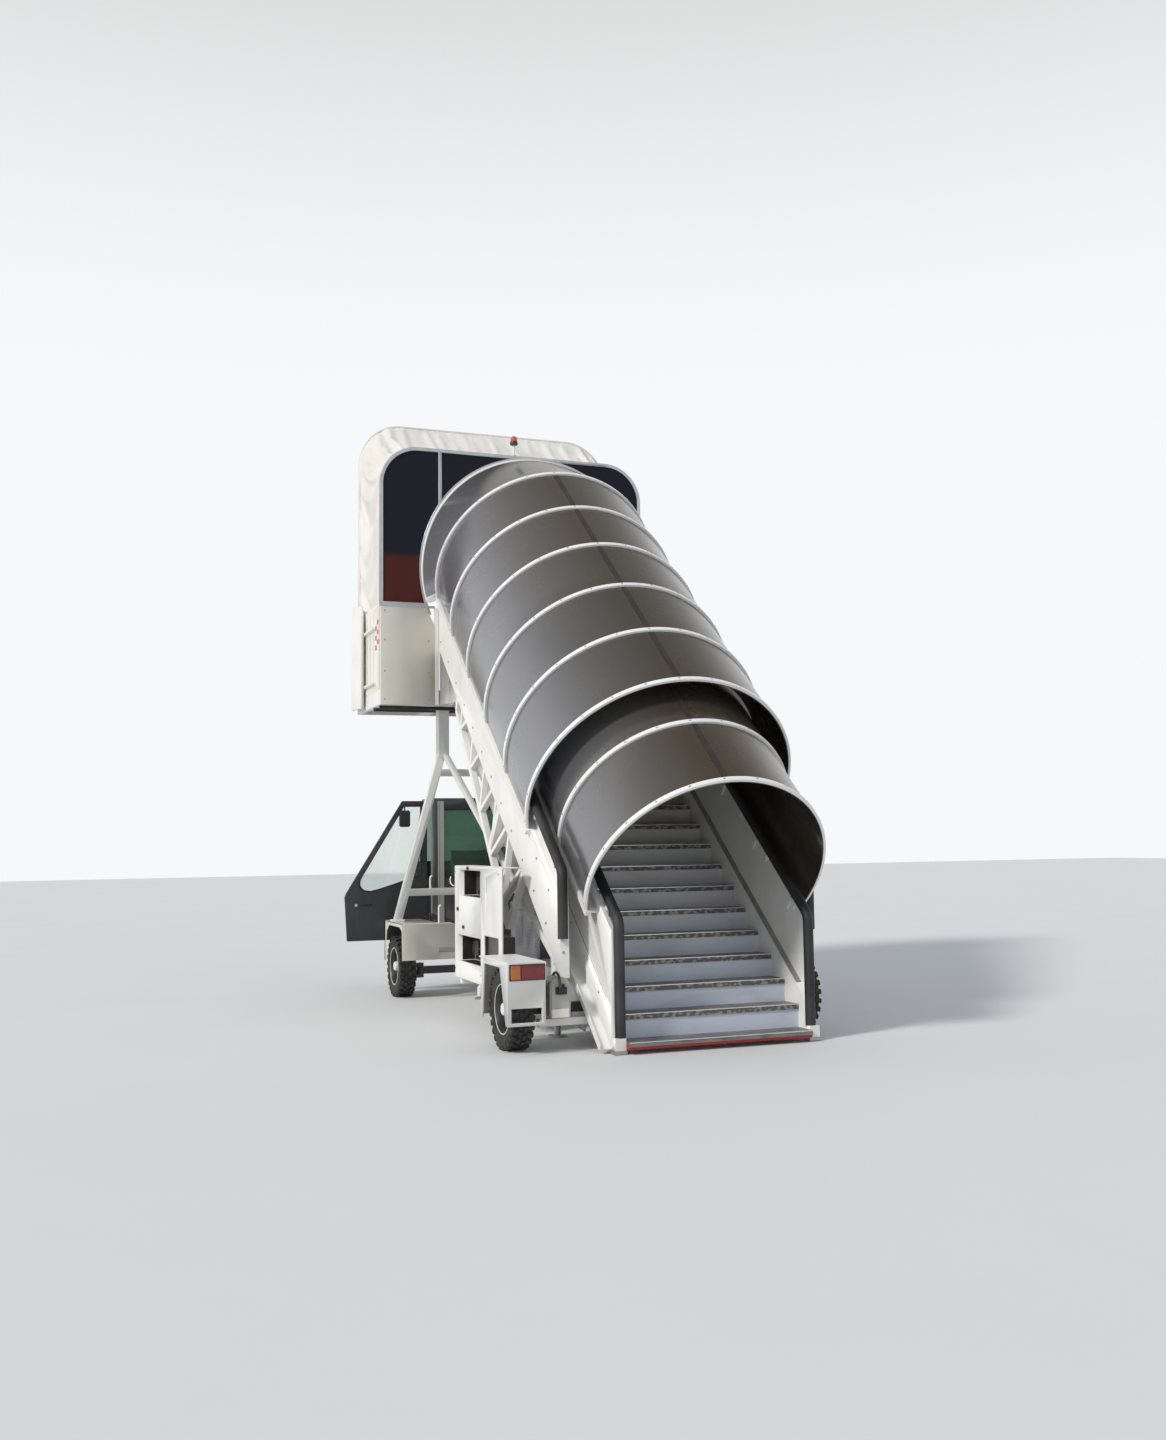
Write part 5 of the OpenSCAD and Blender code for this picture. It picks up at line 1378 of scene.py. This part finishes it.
def make_flight_details():
    """Bolts and seams on the beams and stringers, foot pads, pale strips on the step noses as painted
    highlights, lips, ledges and hoop brackets.
    """
    heads = bmesh.new()
    for side in (-1, 1):
        for i in range(12):
            u = 1.35 + i * BOLT_PITCH
            spot = on_slope(side * BEAM_FACE, u, 0.06)
            if spot.y < FOOT_Y + WALL_Y - 0.08:
                bolt(heads, spot, (side, 0, 0), 0.010, 0.006)
                bolt(heads, on_slope(side * BEAM_FACE, u + 0.12, 0.33), (side, 0, 0), 0.010, 0.006)
        for z in (0.78, 0.90, 1.02):
            bolt(heads, at(side * 1.150, 0.6443, z), (0, -1, 0), 0.009, 0.006)
    put("beam_bolts", heads, "upper", "jack_steel")
    low_heads = bmesh.new()
    for side in (-1, 1):
        for i in range(9):
            spot = on_slope(side * STRINGER_FACE, 0.55 + i * BOLT_PITCH, 0.02)
            bolt(low_heads, spot, (side, 0, 0), 0.008, 0.005)
    for y, z in ((0.61, 0.14), (0.61, 0.24), (0.80, 0.17), (0.98, 0.20)):
        bolt(low_heads, at(0.001 - STRINGER_FACE, y, z), (-1, 0, 0), 0.012, 0.008)
    put("stringer_bolts", low_heads, "root", "jack_steel")
    seams = both((STRINGER_FACE - 0.0005, 0.40, 0.103), (STRINGER_FACE + 0.001, 4.29, 0.108))
    blocks("stringer_seams", "root", "rail_rubber", seams, where=on_slope, look="seal")
    blocks("foot_pads", "root", "jack_steel", both((0.828, 0.048, 0.004), (0.940, 0.150, 0.032)), 0.004)
    for name, body, first, last, shift in FLIGHT_STEPS:
        low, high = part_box(name + "_treads")
        half = (high.x - low.x) / 2 - 0.004
        edges = [(k * GOING + shift, FOOT_Z + k * RISER) for k in range(first, last + 1)]
        # Pale strips along the step noses: a painted highlight where light catches each edge
        nose_highlights = [((-half, y - 0.0056, z - 0.005), (half, y + 0.008, z + 0.0012)) for y, z in edges]
        blocks(name + "_treads_highlight_strip", body, "tread_plate", nose_highlights, look="nosing")
        lips = [((-half, y - 0.0050, z - 0.044), (half, y + 0.002, z - 0.005))
                for y, z in edges if z > FOOT_Z]
        blocks(name + "_treads_lips", body, "tread_plate", lips, look="chequer_plate")
    ledges = both((0.8365, 0.45, 0.1102), (0.889, 4.20, 0.1140))
    blocks("stringer_ledges", "root", "jack_steel", ledges, where=on_slope)
    feet = []
    for u in hoop_places(LOWER_HOOPS):
        feet += both((0.868, u - 0.022, 0.470), (0.8895, u + 0.022, 0.590))
    blocks("hoop_brackets", "root", "white_paint", feet, 0.003, where=on_slope)


# Driver's place and front of the cab


def cushion(name, middle, sizes, lean, channels):
    """A crowned pad with its sides drawn in between the corners and sewn channels across its face."""
    bm = bmesh.new()
    bmesh.ops.create_cube(bm, size=2.0)
    bmesh.ops.subdivide_edges(bm, edges=bm.edges, cuts=15, use_grid_fill=True)
    turn = Matrix.Rotation(lean, 3, "X")
    for vert in bm.verts:
        a, b, c = vert.co
        edge = 1 - 0.10 * (a ** 4 + b ** 4) / 2
        drawn = 1 - 0.035 * (1 - b * b) * abs(a) - 0.035 * (1 - a * a) * abs(b)
        drawn *= 1 - 0.06 * c * c
        crown = 1 - 0.30 * (a ** 4 + b ** 4) / 2
        seam = abs(cos(pi * channels * (b + 1) / 2)) ** 12
        groove = 0.055 * seam * (1 - a ** 6) if c > 0 else 0
        local = (a * drawn * sizes[0], b * drawn * sizes[1], (c * crown * edge - groove) * sizes[2])
        vert.co = middle + turn @ Vector(local)
    return put(name, bm, "root", "seat_cover", sharp=radians(80))


def make_engine_cover():
    """The engine's cover with its lid seam, louvres and latches."""
    low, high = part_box("engine_block")
    flanks = ((low.x, -1), (high.x, 1))
    slats = []
    for i in range(9):
        z = low.z + 0.110 + 0.034 * i
        slats += [((x - side * 0.001, y, z), (x + side * 0.006, y + 0.32, z + 0.020))
                  for x, side in flanks for y in (low.y + 0.12, low.y + 0.56)]
        slats.append(((low.x + 0.15, low.y - 0.006, z), (high.x - 0.15, low.y + 0.001, z + 0.020)))
    blocks("engine_louvres", "root", "engine_iron", slats, 0.0025, where=plain, shaded=True)
    z = high.z - 0.075
    rim = 0.0012
    seam = ((low.x - rim, low.y - rim, z), (high.x + rim, high.y + rim, z + 0.006))
    blocks("engine_seam", "root", "engine_iron", [seam], where=plain, look="seal")
    latches = bmesh.new()
    for y in (low.y + 0.22, high.y - 0.22):
        for x, side in flanks:
            box(latches, (x - side * 0.001, y, z - 0.035), (x + side * 0.010, y + 0.035, z + 0.040), plain)
    for x in (low.x + 0.06, high.x - 0.06):
        for y in (low.y + 0.06, high.y - 0.06):
            bolt(latches, (x, y, high.z), (0, 0, 1), 0.012, 0.007)
    soften(latches, 0.003)
    put("engine_latches", latches, "root", "jack_steel", shaded=True)


SEAT_X = -0.610


def make_seat():
    """The driver's seat: a plain base under two padded pieces."""
    base = [((SEAT_X - 0.190, 5.470, 0.612), (SEAT_X + 0.190, 5.850, 0.800)),
            ((SEAT_X - 0.215, 5.455, 0.800), (SEAT_X + 0.215, 5.880, 0.872))]
    blocks("seat_base", "root", "black_paint", base, 0.010, 3, stands_for=["driver_seat"], shaded=True)
    seat = cushion("seat_cushion", at(SEAT_X, 5.675, 0.930), (0.220, 0.225, 0.060), 0.0, 4)
    back = cushion("seat_back", at(SEAT_X, 5.475, 1.300), (0.215, 0.315, 0.058), radians(82.5), 5)


HEADLAMPS = ((-0.930, 6.430, 0.860), (-0.270, 6.430, 0.860))
HEADLAMP_RADIUS = 0.088
LENS_RADIUS = 0.074
LENS_CROWN = 0.005
PORTAL_PEGS = ((-1.210, FRONT_AXLE_Y, 1.160, 1.330), (-1.235, FRONT_AXLE_Y - 0.485, 0.820, 1.020))


def make_cab_details():
    """The seal round the cab's rear glass, the headlamps and the pegs on the portal."""
    seal = bmesh.new()
    outer = [(-0.996, 1.294), (-0.204, 1.294), (-0.204, 2.096), (-0.996, 2.096)]
    inner = [(-0.976, 1.314), (-0.224, 1.314), (-0.224, 2.076), (-0.976, 2.076)]
    holed(seal, outer, inner, lambda x, z, y: at(x, y, z), 5.2955, 5.301)
    put("rear_glass_seal", seal, "root", "charcoal_paint", look="seal")
    rims = bmesh.new()
    lenses = bmesh.new()
    for x, y, z in HEADLAMPS:
        face = at(x, y, z)
        rod(rims, at(x, y - 0.002, z), at(x, y + 0.004, z), HEADLAMP_RADIUS, 40, HEADLAMP_RADIUS - 0.006)
        rounds = turns(10, pi / 2) + [pi / 2]
        outline = [(LENS_RADIUS * sin(a), 0.004 + LENS_CROWN * cos(a)) for a in rounds]
        rows = [[face + Vector((r * cos(turn), rise, r * sin(turn))) for r, rise in outline]
                for turn in turns(40) + [2 * pi]]
        skin(lenses, rows, closed=False, capped=False)
    put("headlamp_rims", rims, "root", "charcoal_paint", look="seal")
    bmesh.ops.remove_doubles(lenses, verts=lenses.verts, dist=WELD)
    bmesh.ops.dissolve_degenerate(lenses, dist=WELD, edges=lenses.edges)
    put("headlamp_lenses", lenses, "root", "cab_glass", look="nosing")
    pegs = bmesh.new()
    for x, y, low, high in PORTAL_PEGS:
        bends = ((0, low), (0, high - 0.03), (0.006, high - 0.010), (0.022, high))
        tube(pegs, [at(x + out, y, z) for out, z in bends], 0.011, 12)
    put("portal_pegs", pegs, "root", "white_paint")


# Solids that keep their form and only get rounded edges: width of the rounding, body and nodes
ROUNDED = (
    (0.006, "upper", ("platform_walls",)),
    (0.004, "upper", ("platform_floor", "upper_beams", "upper_truss", "platform_frame")),
    (0.004, "root", ("lower_stringers", "support_frame", "front_fenders", "chassis_frame", "chassis_members",
                     "chassis_outriggers")),
    (0.005, "root", ("fender_rear_left", "equipment_cabinet")),
    (0.018, "upper", ("front_hoop",)),
    (0.008, "root", ("cab_body",)),
    (0.006, "guard_left", ("guard_left",)),
    (0.006, "guard_right", ("guard_right",)),
    (0.006, "root", ("bumper_bar",)),
    (0.012, "upper", ("platform_bumper",)),
)


make_camera()
make_light()
make_world()
make_floor()
MATERIALS = make_materials()
SLOT_OF = {part["node"]: part["material_slot"] for part in frame["record"]["subparts"]}
for node_name, node in frame["nodes"].items():
    node.data.materials.clear()
    node.data.materials.append(MATERIALS[SLOT_OF[node_name]])

make_hoops(LOWER_HOOPS, "root", "lower_hoop", "lower_canopy_hoops")
make_hoops(UPPER_HOOPS, "upper", "upper_hoop", "upper_canopy_hoops")
make_sheet(LOWER_HOOPS, "root", "lower_sheet", "lower_canopy_sheet")
make_sheet(UPPER_HOOPS, "upper", "upper_sheet", "upper_canopy_sheet")
make_collar()
make_handrails()
for wheel in ("front_left", "front_right", "rear_left", "rear_right"):
    make_wheel(wheel, "wheel_" + wheel)
make_grips()
make_hood()
make_beacon()
make_lamp()
make_front_fender_side()
make_cabinet_inside()
make_tank()
make_door()
make_seat()
make_engine_cover()
make_cab_details()
make_wall_details()
make_flight_details()
for width, body, nodes in ROUNDED:
    for node_name in nodes:
        rounded(node_name, body, width)

bpy.context.scene.view_settings.view_transform = "Standard"
